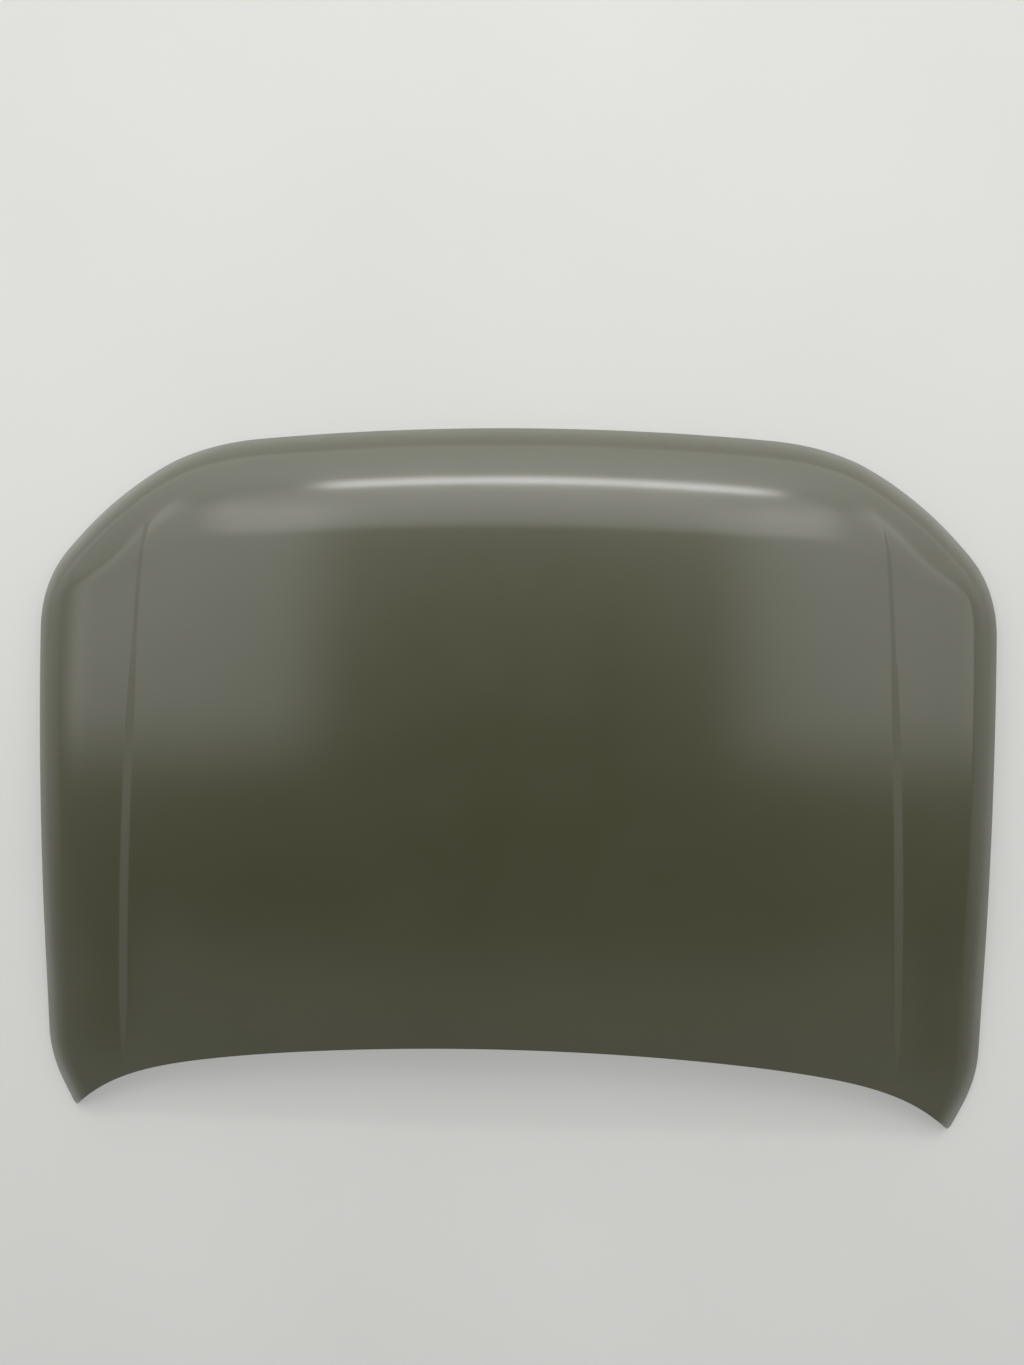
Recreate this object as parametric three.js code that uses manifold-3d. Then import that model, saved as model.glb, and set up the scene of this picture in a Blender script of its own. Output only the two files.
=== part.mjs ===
// A car bonnet, lying skin up at rest on its two rear tips and its front corners.
// X runs across the car, +Y towards the front of the car and +Z up. All sizes are in millimetres.
// The outer skin is folded round the edge of the inner panel, which carries the hinge plates,
// the latch plate and the striker. Soft dabs of mastic tie the two pressings together.
import * as THREE from "three";
import Module from "manifold-3d";

// Plan outline of the right half, from the front centre round to the rear centre.
const halfWidth = 754;
const noseInset = 271;
const tailInset = 5.5;
const tipInset = 47;
const noseX = halfWidth - noseInset;
const frontY = 551.5;
const noseY = 529.5;
const noseRound = 80;
const diagonalBow = 26.6;
const cornerY = 306;
const cornerRound = 75;
const sideHollow = -1.15;
const tailX = halfWidth - tailInset;
const tailY = -470.5;
const tailRound = 48;
const tipX = halfWidth - tipInset;
const tipRound = 9;
const rearY = -404.3;
const rearArc = 3091;
const tipSweep = 70.4;
const sweepPower = 8.5;

// Height of the outer skin above the ground.
const apexHeight = 131.39;
const apexY = 18.6;
const lengthArc = 3400;
const crossArc = 5200;
const shoulderX = 420;
const shoulderArc = 2400;
const rollWidth = 46;
const rollArcSide = 65;
const rollArcFront = 43;
const noseWidth = 170;
const noseArc = 300;

// Shoulder crease, a narrow sloping band between the middle field and the flank.
const creaseInset = 168.5;
const creaseX = halfWidth - creaseInset;
const creaseSlope = 0.0445;
const creaseHookY = 298;
const creaseHook = 6;
const creaseNarrow = 7;
const creaseWiden = 9;
const creaseDepth = 3.8;
const creaseFrontFade = [412, 290];
const creaseRearFade = [-477, -332];
const bandFrontFade = [238, 88];
const bandRearFade = [-452, -332];

// Sheet thicknesses, the fold round the edge and the clearance between stacked pieces.
const skinSheet = 0.7;
const innerSheet = 0.6;
const clearance = 0.3;
const foldLeg = 14;
const frontLegShare = 0.5;
const tipLeg = 4;
const tipLegGrowth = 0.2;

// Depth of the inner panel below the outer skin.
const channelDepth = 24;
const fieldDepth = 7;
const lipStart = 2.2;
const lipDepth = 6;
const lipReach = 7;
const lipClear = 7.5;
const wallReach = 14;
const groundShare = 0.62;
const latchPadDepth = 16;
const hingePadDepth = 26;

// Fastenings and the striker.
const nutAcross = 13;
const nutHeight = 6.5;
const nutBore = 8.6;
const boltHeadHeight = 5.3;
const hingeHoleGap = 60;
const strikerHoleGap = 90;
const plateRound = 10;
const hingePlateSize = [42, 96, 2];
const strikerPlateSize = [130, 46, 3];
const latchPlateSize = [176, 66, 2];
const wireRound = 8;
const loopSpan = 34;
const loopDrop = 30;
const dabRound = 24;

const wasm = await Module();
wasm.setup();

function clamp(value, low, high) {
  return Math.min(high, Math.max(low, value));
}

// A soft step from 0 at a to 1 at b.
function ramp(value, a, b) {
  const t = clamp((value - a) / (b - a), 0, 1);
  return t * t * (3 - 2 * t);
}

function mixNumber(a, b, t) {
  return a + (b - a) * t;
}

// A straight edge from a to b, bowed to the left by a parabola.
function bowedEdge(a, b, bow, count) {
  const length = Math.hypot(b[0] - a[0], b[1] - a[1]);
  const left = [-(b[1] - a[1]) / length, (b[0] - a[0]) / length];
  return Array.from({ length: count + 1 }, (_, k) => {
    const t = k / count;
    const push = bow * 4 * t * (1 - t);
    return [mixNumber(a[0], b[0], t) + left[0] * push, mixNumber(a[1], b[1], t) + left[1] * push];
  });
}

// Rear edge: a wide arc, with the ends swept back to the tips by a power curve.
function rearEdgeY(x) {
  const ax = Math.abs(x);
  return rearY - (x * x) / (2 * rearArc) - tipSweep * (ax / tipX) ** sweepPower;
}

// Cuts both edges back from their shared corner and bridges them with a curve tangent to both.
function roundCorner(before, after, cut) {
  const corner = before[before.length - 1];
  const far = (p) => Math.hypot(p[0] - corner[0], p[1] - corner[1]) >= cut;
  const e0 = before.filter(far);
  const e1 = after.filter(far);
  const p0 = e0[e0.length - 1];
  const p1 = e1[0];
  const q0 = e0[e0.length - 2];
  const q1 = e1[1];
  const t0 = [p0[0] - q0[0], p0[1] - q0[1]];
  const t1 = [q1[0] - p1[0], q1[1] - p1[1]];
  const s = ((p1[0] - p0[0]) * t1[1] - (p1[1] - p0[1]) * t1[0]) / (t0[0] * t1[1] - t0[1] * t1[0]);
  const meet = [p0[0] + t0[0] * s, p0[1] + t0[1] * s];
  const bridge = [];
  for (let k = 1; k < 24; k++) {
    const t = k / 24;
    const a = (1 - t) * (1 - t);
    const b = 2 * t * (1 - t);
    const c = t * t;
    bridge.push([a * p0[0] + b * meet[0] + c * p1[0], a * p0[1] + b * meet[1] + c * p1[1]]);
  }
  return [e0, bridge, e1];
}

// The right half of the outline as a fine run of points from the rear centre to the front centre.
function traceOutline() {
  const front = Array.from({ length: 301 }, (_, k) => {
    const t = k / 300;
    return [noseX * t, frontY - (frontY - noseY) * t * t];
  });
  const tip = [tipX, rearEdgeY(tipX)];
  const diagonal = bowedEdge([noseX, noseY], [halfWidth, cornerY], diagonalBow, 300);
  const side = bowedEdge([halfWidth, cornerY], [tailX, tailY], sideHollow, 500);
  const tail = bowedEdge([tailX, tailY], tip, 0, 200);
  const rear = Array.from({ length: 801 }, (_, k) => {
    const x = tipX * (1 - k / 800);
    return [x, rearEdgeY(x)];
  });
  const [f, noseBridge, d0] = roundCorner(front, diagonal, noseRound);
  const [d, cornerBridge, s0] = roundCorner(d0, side, cornerRound);
  const [s, tailBridge, t0] = roundCorner(s0, tail, tailRound);
  const [t, tipBridge, r] = roundCorner(t0, rear, tipRound);
  const run = [...f, ...noseBridge, ...d, ...cornerBridge, ...s, ...tailBridge, ...t, ...tipBridge];
  return [...run, ...r].reverse();
}

const outline = traceOutline();
const lengths = [0];
for (let k = 1; k < outline.length; k++) {
  const step = Math.hypot(outline[k][0] - outline[k - 1][0], outline[k][1] - outline[k - 1][1]);
  lengths.push(lengths[k - 1] + step);
}

// Outward normals in plan, averaged over the two neighbouring steps.
const normals = outline.map((_, k) => {
  const a = outline[Math.max(0, k - 1)];
  const b = outline[Math.min(outline.length - 1, k + 1)];
  const run = Math.hypot(b[0] - a[0], b[1] - a[1]);
  return [(b[1] - a[1]) / run, -(b[0] - a[0]) / run];
});
normals[0] = [0, -1];
normals[outline.length - 1] = [0, 1];

function nearestIndex(test) {
  let best = 0;
  outline.forEach((p, k) => {
    if (test(p) < test(outline[best])) best = k;
  });
  return best;
}

const tipIndex = nearestIndex((p) => p[1] - 0.35 * p[0]);
const cornerIndex = nearestIndex((p) => Math.hypot(p[0] - halfWidth, p[1] - cornerY));

// Distance from a point to the rolled edge, and how far that edge faces the front.
function rolledEdge(x, y) {
  const ax = Math.abs(x);
  let best = Infinity;
  let at = tipIndex;
  for (let k = tipIndex; k < outline.length; k++) {
    const d = (outline[k][0] - ax) ** 2 + (outline[k][1] - y) ** 2;
    if (d < best) {
      best = d;
      at = k;
    }
  }
  return { distance: Math.sqrt(best), facing: clamp(normals[at][1], 0, 1) };
}

function creaseLine(y) {
  const hook = Math.max(0, (y - creaseHookY) / 100);
  return creaseX - creaseSlope * y - creaseHook * hook * hook;
}

function creaseBand(y) {
  const wide = ramp(y, ...bandFrontFade) * ramp(y, ...bandRearFade);
  return creaseNarrow + creaseWiden * wide;
}

// Outer skin height: two crossing arcs, rounder shoulders, the crease, the nose and the rolled edge.
function skinHeight(x, y) {
  const ax = Math.abs(x);
  const edge = rolledEdge(x, y);
  const long = (y - apexY) ** 2 / (2 * lengthArc);
  const cross = (x * x) / (2 * crossArc) + Math.max(0, ax - shoulderX) ** 2 / (2 * shoulderArc);
  const drop = creaseDepth * ramp(y, ...creaseFrontFade) * ramp(y, ...creaseRearFade);
  const crease = drop * clamp((ax - creaseLine(y)) / creaseBand(y) + 0.5, 0, 1);
  const arc = mixNumber(rollArcSide, rollArcFront, edge.facing);
  const roll = Math.max(0, rollWidth - edge.distance) ** 2 / (2 * arc);
  const nose = Math.max(0, noseWidth * edge.facing - edge.distance) ** 2 / (2 * noseArc);
  return apexHeight - long - cross - crease - roll - nose;
}

// Where the lengthwise grid lines stand, as shares of the way from the middle line to the crease
// and then from the crease to the side. Both pressings share them.
const middleStops = [0, 30, 44, 122, 200, 214, 258, 272, 350, 428, 442, 486, 500, 545, 585];
const middleShares = middleStops.map((stop) => stop / middleStops[middleStops.length - 1]);
const flankShares = [0, 0.1, 0.27, 0.46, 0.64, 0.8, 0.92, 1];
const split = middleStops.length;
const columns = split + flankShares.length - 1;

// Where the crosswise grid lines stand along the side, from the tip to the front corner.
const panelStops = [0, 7, 21, 50, 78, 92, 130, 175, 260, 274, 318, 332, 440, 548, 562, 606, 620];
panelStops.push(705, 790, 804, 850, 885, 912, 930, 938);
const panelShares = panelStops.map((stop) => stop / panelStops[panelStops.length - 1]);
const rows = panelStops.length - 1;

// Outline points at the given shares of a stretch.
function pickStations(from, to, wanted) {
  return wanted.map((share) => {
    const goal = mixNumber(lengths[from], lengths[to], share);
    return lengths.findIndex((length) => length >= goal - 1e-6);
  });
}

const offCrease = (p, side) => Math.abs(p[0] - creaseLine(p[1]) - (side * creaseBand(p[1])) / 2);
const onRear = (side) => (p) => (p[1] < 0 ? offCrease(p, side) : Infinity);
const onFront = (side) => (p) => (p[1] > 0 ? offCrease(p, side) : Infinity);
const backwards = (list) => list.map((share) => 1 - share).reverse();
const lastIndex = outline.length - 1;
const stationIndex = [
  ...pickStations(0, nearestIndex(onRear(-1)), middleShares),
  ...pickStations(nearestIndex(onRear(1)), tipIndex, flankShares),
  ...pickStations(tipIndex, cornerIndex, panelShares).slice(1),
  ...pickStations(cornerIndex, nearestIndex(onFront(1)), backwards(flankShares)).slice(1),
  ...pickStations(nearestIndex(onFront(-1)), lastIndex, backwards(middleShares)),
];

// The folded edge at each station, drawn in the upright plane through the outline's normal.
// The section runs from the skin's top inwards of the fold, round the bend and back underneath.
const foldStack = 2 * skinSheet + innerSheet + 2 * clearance;
const bend = foldStack / 2;

// Length in plan of the fold, shorter where the edge is steep and towards the tips.
function legAt(index) {
  const [x, y] = outline[index];
  const fromTip = Math.hypot(x - outline[tipIndex][0], y - outline[tipIndex][1]);
  const share = 1 - (1 - frontLegShare) * clamp(normals[index][1], 0, 1);
  return Math.min(foldLeg * share, tipLeg + tipLegGrowth * fromTip);
}

function makeStation(index) {
  const p = outline[index];
  const n = normals[index];
  const leg = legAt(index);
  const at = (r, z) => new THREE.Vector3(Math.max(0, p[0] + n[0] * r), p[1] + n[1] * r, z);
  const ring = at(-leg, 0);
  const ringZ = skinHeight(ring.x, ring.y);
  const edgeZ = skinHeight(p[0], p[1]);
  const slope = Math.atan2(ringZ - edgeZ, leg);
  const sin = Math.sin(slope);
  const cos = Math.cos(slope);
  const startR = -bend + bend * sin;
  const startZ = ringZ - (startR + leg) * Math.tan(slope);
  const below = (r, z, depth) => at(r - sin * depth, z - cos * depth);
  const hub = [startR - bend * sin, startZ - bend * cos];
  const round = (angle, radius) => {
    const turn = Math.PI / 2 - slope - angle;
    return at(hub[0] + radius * Math.cos(turn), hub[1] + radius * Math.sin(turn));
  };
  const legTop = foldStack - skinSheet;
  const section = [
    at(-leg, ringZ),
    at(startR, startZ),
    round(Math.PI / 3, bend),
    round((2 * Math.PI) / 3, bend),
    below(startR, startZ, foldStack),
    below(-leg, ringZ, foldStack),
    below(-leg, ringZ, legTop),
    below(startR, startZ, legTop),
    below(startR, startZ, skinSheet),
    below(-leg, ringZ, skinSheet),
  ];
  const panelR = startR - clearance - 0.4;
  const panelZ = startZ - (panelR - startR) * Math.tan(slope);
  const top = skinSheet + clearance;
  const flange = [
    below(-leg, ringZ, top),
    below(panelR, panelZ, top),
    below(panelR, panelZ, top + innerSheet),
    below(-leg, ringZ, top + innerSheet),
  ];
  return { section, flange };
}

const stations = stationIndex.map(makeStation);
const rearRing = stations.slice(0, columns + 1);
const sideRing = stations.slice(columns, columns + rows + 1);
const frontRing = stations.slice(columns + rows).reverse();

// Cumulative share of a run of points along its own length.
function shares(points) {
  const run = [0];
  for (let k = 1; k < points.length; k++) run.push(run[k - 1] + points[k].distanceTo(points[k - 1]));
  return run.map((r) => r / run[run.length - 1]);
}

// A point at a given share along a run of points.
function along(points, share) {
  const run = shares(points);
  let k = run.findIndex((r) => r >= share);
  if (k === 0) k = 1;
  if (k < 0) k = run.length - 1;
  const t = clamp((share - run[k - 1]) / (run[k] - run[k - 1]), 0, 1);
  return points[k - 1].clone().lerp(points[k], t);
}

// Blends four boundary curves into a point of the patch between them. The shares say where on
// each curve the point belongs.
function patchPoint(curves, u, v, uRear, uFront, vLeft, vRight) {
  const { rear, front, left, right } = curves;
  const r = along(rear, uRear);
  const f = along(front, uFront);
  const l = along(left, vLeft);
  const g = along(right, vRight);
  const corner = (key) => {
    const low = mixNumber(rear[0][key], rear[rear.length - 1][key], u);
    const high = mixNumber(front[0][key], front[front.length - 1][key], u);
    return mixNumber(low, high, v);
  };
  const blend = (key) => mixNumber(r[key], f[key], v) + mixNumber(l[key], g[key], u) - corner(key);
  return [blend("x"), blend("y")];
}

// Crosswise grid lines of the skin along its middle line, close together over the nose.
const skinShares = [0, 0.012, 0.03, 0.06, 0.095, 0.13, 0.17, 0.215, 0.285, 0.33, 0.375, 0.42];
skinShares.push(0.48, 0.56, 0.61, 0.66, 0.71, 0.765, 0.82, 0.87, 0.91, 0.94, 0.96, 0.98, 1);
const flatRing = (ring) => ring.map((s) => s.section[0].clone().setZ(0));
const rearFlat = flatRing(rearRing);
const frontFlat = flatRing(frontRing);
const sideFlat = flatRing(sideRing);

// One of the two lines that border the crease band, joined to the fold at both ends.
function creaseCurve(side, start, end, list) {
  const offset = (p) => p.x - creaseLine(p.y) - (side * creaseBand(p.y)) / 2;
  return list.map((v) => {
    const y = mixNumber(start.y, end.y, v);
    const x = creaseLine(y) + (side * creaseBand(y)) / 2;
    return new THREE.Vector3(x + offset(start) * (1 - v) ** 12 + offset(end) * v ** 12, y, 0);
  });
}

// The plan grid of a pressing: the middle field up to the crease, then the flank beyond it.
function planGrid(list) {
  const middle = list.map((v) => new THREE.Vector3(0, mixNumber(rearFlat[0].y, frontFlat[0].y, v), 0));
  const inner = creaseCurve(-1, rearFlat[split - 1], frontFlat[split - 1], list);
  const outer = creaseCurve(1, rearFlat[split], frontFlat[split], list);
  const fill = (left, right, first, final) => {
    const rear = rearFlat.slice(first, final + 1);
    const front = frontFlat.slice(first, final + 1);
    const [uRears, uFronts] = [shares(rear), shares(front)];
    const [vLefts, vRights] = [shares(left), shares(right)];
    return rear.map((_, i) => list.map((__, j) => {
      const v = mixNumber(vLefts[j], vRights[j], (uRears[i] + uFronts[i]) / 2);
      const u = mixNumber(uRears[i], uFronts[i], v);
      const curves = { rear, front, left, right };
      return patchPoint(curves, u, v, uRears[i], uFronts[i], vLefts[j], vRights[j]);
    }));
  };
  return [...fill(middle, inner, 0, split - 1), ...fill(outer, sideFlat, split, columns)];
}

// A closed sheet for the right half: a top grid, an underside grid and the strips that join them
// round the edge. Each cell is split along the diagonal that leaves the fatter pair of triangles.
function closeSheet(topGrid, lowGrid, strips) {
  const triangles = [];
  const area = (a, b, c) => (b.x - a.x) * (c.y - a.y) - (b.y - a.y) * (c.x - a.x);
  const face = (a, b, c) => triangles.push([a, b, c]);
  for (let i = 0; i < columns; i++) {
    for (let j = 0; j < rows; j++) {
      const t = [topGrid[i][j], topGrid[i + 1][j], topGrid[i + 1][j + 1], topGrid[i][j + 1]];
      const l = [lowGrid[i][j], lowGrid[i + 1][j], lowGrid[i + 1][j + 1], lowGrid[i][j + 1]];
      const one = Math.min(area(t[0], t[1], t[2]), area(t[0], t[2], t[3]));
      const two = Math.min(area(t[0], t[1], t[3]), area(t[1], t[2], t[3]));
      const first = [[0, 1, 2], [0, 2, 3]];
      const second = [[0, 1, 3], [1, 2, 3]];
      for (const [a, b, c] of one >= two ? first : second) {
        face(t[a], t[b], t[c]);
        face(l[a], l[c], l[b]);
      }
    }
  }
  for (let k = 0; k + 1 < strips.length; k++) {
    for (let m = 0; m + 1 < strips[k].length; m++) {
      const a = strips[k][m];
      const b = strips[k][m + 1];
      const c = strips[k + 1][m + 1];
      const d = strips[k + 1][m];
      face(a, b, c);
      face(a, c, d);
    }
  }
  return triangles;
}

// Both halves of a body that is drawn for the right side only.
function mirrored(triangles) {
  const flip = (p) => new THREE.Vector3(-p.x, p.y, p.z);
  return [...triangles, ...triangles.map(([a, b, c]) => [flip(a), flip(c), flip(b)])];
}

function toGeometry(triangles) {
  const values = triangles.flatMap((t) => t.flatMap((p) => [p.x, p.y, p.z]));
  const geometry = new THREE.BufferGeometry();
  geometry.setAttribute("position", new THREE.Float32BufferAttribute(values, 3));
  geometry.computeVertexNormals();
  return geometry;
}

function makeGrid(point) {
  return Array.from({ length: columns + 1 }, (_, i) => {
    return Array.from({ length: rows + 1 }, (_, j) => point(i, j));
  });
}

// The grid one sheet thickness below another, measured square to the surface.
function offsetGrid(grid, thickness) {
  const span = (a, b) => new THREE.Vector3().subVectors(b, a);
  return makeGrid((i, j) => {
    const across = span(grid[Math.max(0, i - 1)][j], grid[Math.min(columns, i + 1)][j]);
    const ahead = span(grid[i][Math.max(0, j - 1)], grid[i][Math.min(rows, j + 1)]);
    const normal = across.cross(ahead).normalize();
    if (i === 0) normal.setX(0).normalize();
    return grid[i][j].clone().addScaledVector(normal, -thickness);
  });
}

// Lays the station points over the edge of a grid.
function setRing(grid, pick) {
  rearRing.forEach((s, i) => (grid[i][0] = pick(s)));
  frontRing.forEach((s, i) => (grid[i][rows] = pick(s)));
  sideRing.forEach((s, j) => (grid[columns][j] = pick(s)));
  return grid;
}

const skinPlan = planGrid(skinShares);
const skinTop = makeGrid((i, j) => {
  const [x, y] = skinPlan[i][j];
  return new THREE.Vector3(i === 0 ? 0 : x, y, skinHeight(x, y));
});
setRing(skinTop, (s) => s.section[0]);
const skinLow = setRing(offsetGrid(skinTop, skinSheet), (s) => s.section[9]);
const skinHalf = closeSheet(skinTop, skinLow, stations.map((s) => s.section));

// Which grid lines of the inner panel lie in a channel. All others lie in the shallow fields.
const channelColumns = [0, 1, 5, 6, 10, 11, 16, 17, 18, 19, 20, 21, 22];
const channelRows = [0, 1, 2, 3, 4, 9, 10, 14, 15, 19, 20, 21, 22, 23, 24];

// Distance in plan from the inner end of the fold, and the outline point it is measured to.
function insideFold(x, y) {
  const index = nearestIndex((p) => (p[0] - x) ** 2 + (p[1] - y) ** 2);
  const inside = Math.hypot(outline[index][0] - x, outline[index][1] - y) - legAt(index);
  return { inside, index };
}

// Moves a point that is too close to the fold straight inwards.
function clearOfFold([x, y]) {
  const { inside, index } = insideFold(x, y);
  const push = Math.max(0, lipClear - inside);
  return [x - normals[index][0] * push, y - normals[index][1] * push];
}

// Depth that the panel's outer wall allows there.
function wallDepth(x, y) {
  const { inside } = insideFold(x, y);
  if (inside < lipReach) return mixNumber(lipStart, lipDepth, Math.max(0, inside) / lipReach);
  return mixNumber(lipDepth, channelDepth, clamp((inside - lipReach) / wallReach, 0, 1));
}

// The panel hangs below the skin: deep in the channels, shallow in the fields between them,
// and never using more than a share of the room above the ground. Its pads are level.
const panelPlan = planGrid(panelShares);
const panelTop = makeGrid((i, j) => {
  const onRing = i === columns || j === 0 || j === rows;
  const [x, y] = onRing ? panelPlan[i][j] : clearOfFold(panelPlan[i][j]);
  const channel = channelColumns.includes(i) || channelRows.includes(j);
  const wanted = Math.min(wallDepth(x, y), channel ? channelDepth : fieldDepth);
  const surface = skinHeight(x, y);
  const room = Math.max(lipDepth, surface * groundShare);
  return new THREE.Vector3(i === 0 ? 0 : x, y, surface - Math.min(wanted, room));
});
const padBlock = (iList, jList) => iList.flatMap((i) => jList.map((j) => panelTop[i][j]));
const latchPad = padBlock([0, 1, 2, 3], [19, 20, 21, 22]);
const latchY = mixNumber(latchPad[0].y, latchPad[3].y, 0.5);
const latchPadZ = skinHeight(0, latchPad[3].y) - latchPadDepth;
const hingePad = padBlock([17, 18, 19, 20], [4, 5, 6, 7, 8]);
const hingeMiddle = padBlock([18, 19], [6, 7]);
const hingeX = hingeMiddle.reduce((sum, p) => sum + p.x / 4, 0);
const hingeY = hingeMiddle.reduce((sum, p) => sum + p.y / 4, 0);
const hingePadZ = skinHeight(hingeX, hingeY) - hingePadDepth;
latchPad.forEach((p) => p.setZ(latchPadZ));
hingePad.forEach((p) => p.setZ(hingePadZ));
setRing(panelTop, (s) => s.flange[0]);
const panelLow = offsetGrid(panelTop, innerSheet);
panelTop.forEach((column, i) => column.forEach((p, j) => {
  if (latchPad.includes(p) || hingePad.includes(p)) panelLow[i][j].set(p.x, p.y, p.z - innerSheet);
}));
setRing(panelLow, (s) => s.flange[3]);
const panelHalf = closeSheet(panelTop, panelLow, stations.map((s) => s.flange));

// Height of a faceted surface above a point in plan, on whichever facet covers it.
function heightOn(grid, x, y) {
  const ax = Math.abs(x);
  for (let i = 0; i < columns; i++) {
    for (let j = 0; j < rows; j++) {
      const q = [grid[i][j], grid[i + 1][j], grid[i + 1][j + 1], grid[i][j + 1]];
      for (const [a, b, c] of [[q[0], q[1], q[2]], [q[0], q[2], q[3]]]) {
        const whole = (b.x - a.x) * (c.y - a.y) - (b.y - a.y) * (c.x - a.x);
        const s = ((ax - a.x) * (c.y - a.y) - (y - a.y) * (c.x - a.x)) / whole;
        const t = ((b.x - a.x) * (y - a.y) - (b.y - a.y) * (ax - a.x)) / whole;
        const inside = s >= -1e-6 && t >= -1e-6 && s + t <= 1 + 1e-6;
        if (inside) return a.z + (b.z - a.z) * s + (c.z - a.z) * t;
      }
    }
  }
  throw new Error("no facet above " + x + ", " + y);
}

const paint = new THREE.MeshStandardMaterial({ color: 0x6f7061, metalness: 0.3, roughness: 0.4 });
const zinc = new THREE.MeshStandardMaterial({ color: 0x9a9a94, metalness: 0.8, roughness: 0.4 });
const mastic = new THREE.MeshStandardMaterial({ color: 0x26262a, metalness: 0, roughness: 0.9 });

const bonnet = new THREE.Group();
bonnet.name = "bonnet";

function addPiece(name, geometry, material) {
  const mesh = new THREE.Mesh(geometry, material);
  mesh.name = name;
  bonnet.add(mesh);
}

function toSolid(triangles) {
  const seen = new Map();
  const vertices = [];
  const triVerts = [];
  for (const p of triangles.flat()) {
    const key = [p.x, p.y, p.z].map((v) => Math.round(v * 1e4)).join(" ");
    if (!seen.has(key)) {
      seen.set(key, vertices.length / 3);
      vertices.push(p.x, p.y, p.z);
    }
    triVerts.push(seen.get(key));
  }
  const vertProperties = new Float32Array(vertices);
  const mesh = new wasm.Mesh({ numProp: 3, vertProperties, triVerts: new Uint32Array(triVerts) });
  return new wasm.Manifold(mesh);
}

function fromSolid(solid) {
  const mesh = solid.getMesh();
  const geometry = new THREE.BufferGeometry();
  geometry.setAttribute("position", new THREE.BufferAttribute(mesh.vertProperties, 3));
  geometry.setIndex(new THREE.BufferAttribute(mesh.triVerts, 1));
  return geometry.toNonIndexed();
}

addPiece("outer_skin", toGeometry(mirrored(skinHalf)), paint);

// Upright prism of a plan shape, from one height to another.
function prism(points, low, high) {
  const shape = new THREE.Shape(points.map(([x, y]) => new THREE.Vector2(x, y)));
  const geometry = new THREE.ExtrudeGeometry(shape, { depth: high - low, bevelEnabled: false });
  geometry.translate(0, 0, low);
  const flat = geometry.index ? geometry.toNonIndexed() : geometry;
  const corners = flat.getAttribute("position");
  const triangles = [];
  for (let k = 0; k < corners.count; k += 3) {
    triangles.push([0, 1, 2].map((m) => new THREE.Vector3().fromBufferAttribute(corners, k + m)));
  }
  return toSolid(triangles);
}

// A drilled or cut hole runs from below the lowest piece to above the highest.
const drillLow = -50;
const drillHigh = apexHeight + 50;

function roundedBox(x, y, width, length, radius) {
  const steps = 3;
  const corners = [[1, 1, 0], [-1, 1, 1], [-1, -1, 2], [1, -1, 3]];
  return corners.flatMap(([sx, sy, quarter]) => {
    return Array.from({ length: steps + 1 }, (_, k) => {
      const angle = ((quarter + k / steps) * Math.PI) / 2;
      const cx = x + sx * (width / 2 - radius);
      const cy = y + sy * (length / 2 - radius);
      return [cx + radius * Math.cos(angle), cy + radius * Math.sin(angle)];
    });
  });
}

function ringPoints(x, y, radius, count) {
  return Array.from({ length: count }, (_, k) => {
    const angle = ((k + 0.5) * 2 * Math.PI) / count;
    return [x + radius * Math.cos(angle), y + radius * Math.sin(angle)];
  });
}

// Lightening holes, one in each field of the panel, between these grid lines.
const fieldColumns = [[2, 4], [7, 9], [12, 15]];
const fieldRows = [[5, 8], [11, 13], [16, 18]];
const holeWidths = [110, 110, 60];
const holeLengths = [112, 136, 110];
const holeRound = 26;
const holes = fieldColumns.flatMap(([left, right], i) => {
  return fieldRows.map(([rear, front], j) => {
    const corners = padBlock([left, right], [rear, front]);
    const mean = (key) => corners.reduce((sum, p) => sum + p[key] / 4, 0);
    return { x: mean("x"), y: mean("y"), width: holeWidths[i], length: holeLengths[j] };
  });
});

let panelSolid = toSolid(mirrored(panelHalf));
for (const side of [-1, 1]) {
  for (const hole of holes) {
    const shape = roundedBox(side * hole.x, hole.y, hole.width, hole.length, holeRound);
    panelSolid = panelSolid.subtract(prism(shape, drillLow, drillHigh));
  }
  for (const end of [-0.5, 0.5]) {
    const spot = ringPoints(side * hingeX, hingeY + end * hingeHoleGap, nutBore / 2, 12);
    panelSolid = panelSolid.subtract(prism(spot, drillLow, drillHigh));
  }
  const spot = ringPoints((side * strikerHoleGap) / 2, latchY, nutBore / 2, 12);
  panelSolid = panelSolid.subtract(prism(spot, drillLow, drillHigh));
}
addPiece("inner_panel", fromSolid(panelSolid), paint);

// Hinge plates lie on the panel's rear pads, and the nuts sit on the plates.
const nutRound = nutAcross / Math.sqrt(3);
const sides = [[-1, "left"], [1, "right"]];
for (const [side, word] of sides) {
  const low = hingePadZ + clearance;
  const high = low + hingePlateSize[2];
  const [width, length] = hingePlateSize;
  let plate = prism(roundedBox(side * hingeX, hingeY, width, length, plateRound), low, high);
  for (const [end, place] of [["rear", -0.5], ["front", 0.5]]) {
    const y = hingeY + place * hingeHoleGap;
    const bore = prism(ringPoints(side * hingeX, y, nutBore / 2, 12), drillLow, drillHigh);
    plate = plate.subtract(bore);
    const nutLow = high + clearance;
    const nut = prism(ringPoints(side * hingeX, y, nutRound, 6), nutLow, nutLow + nutHeight);
    addPiece("hinge_nut_" + word + "_" + end, fromSolid(nut.subtract(bore)), zinc);
  }
  addPiece("hinge_plate_" + word, fromSolid(plate), paint);
}

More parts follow.
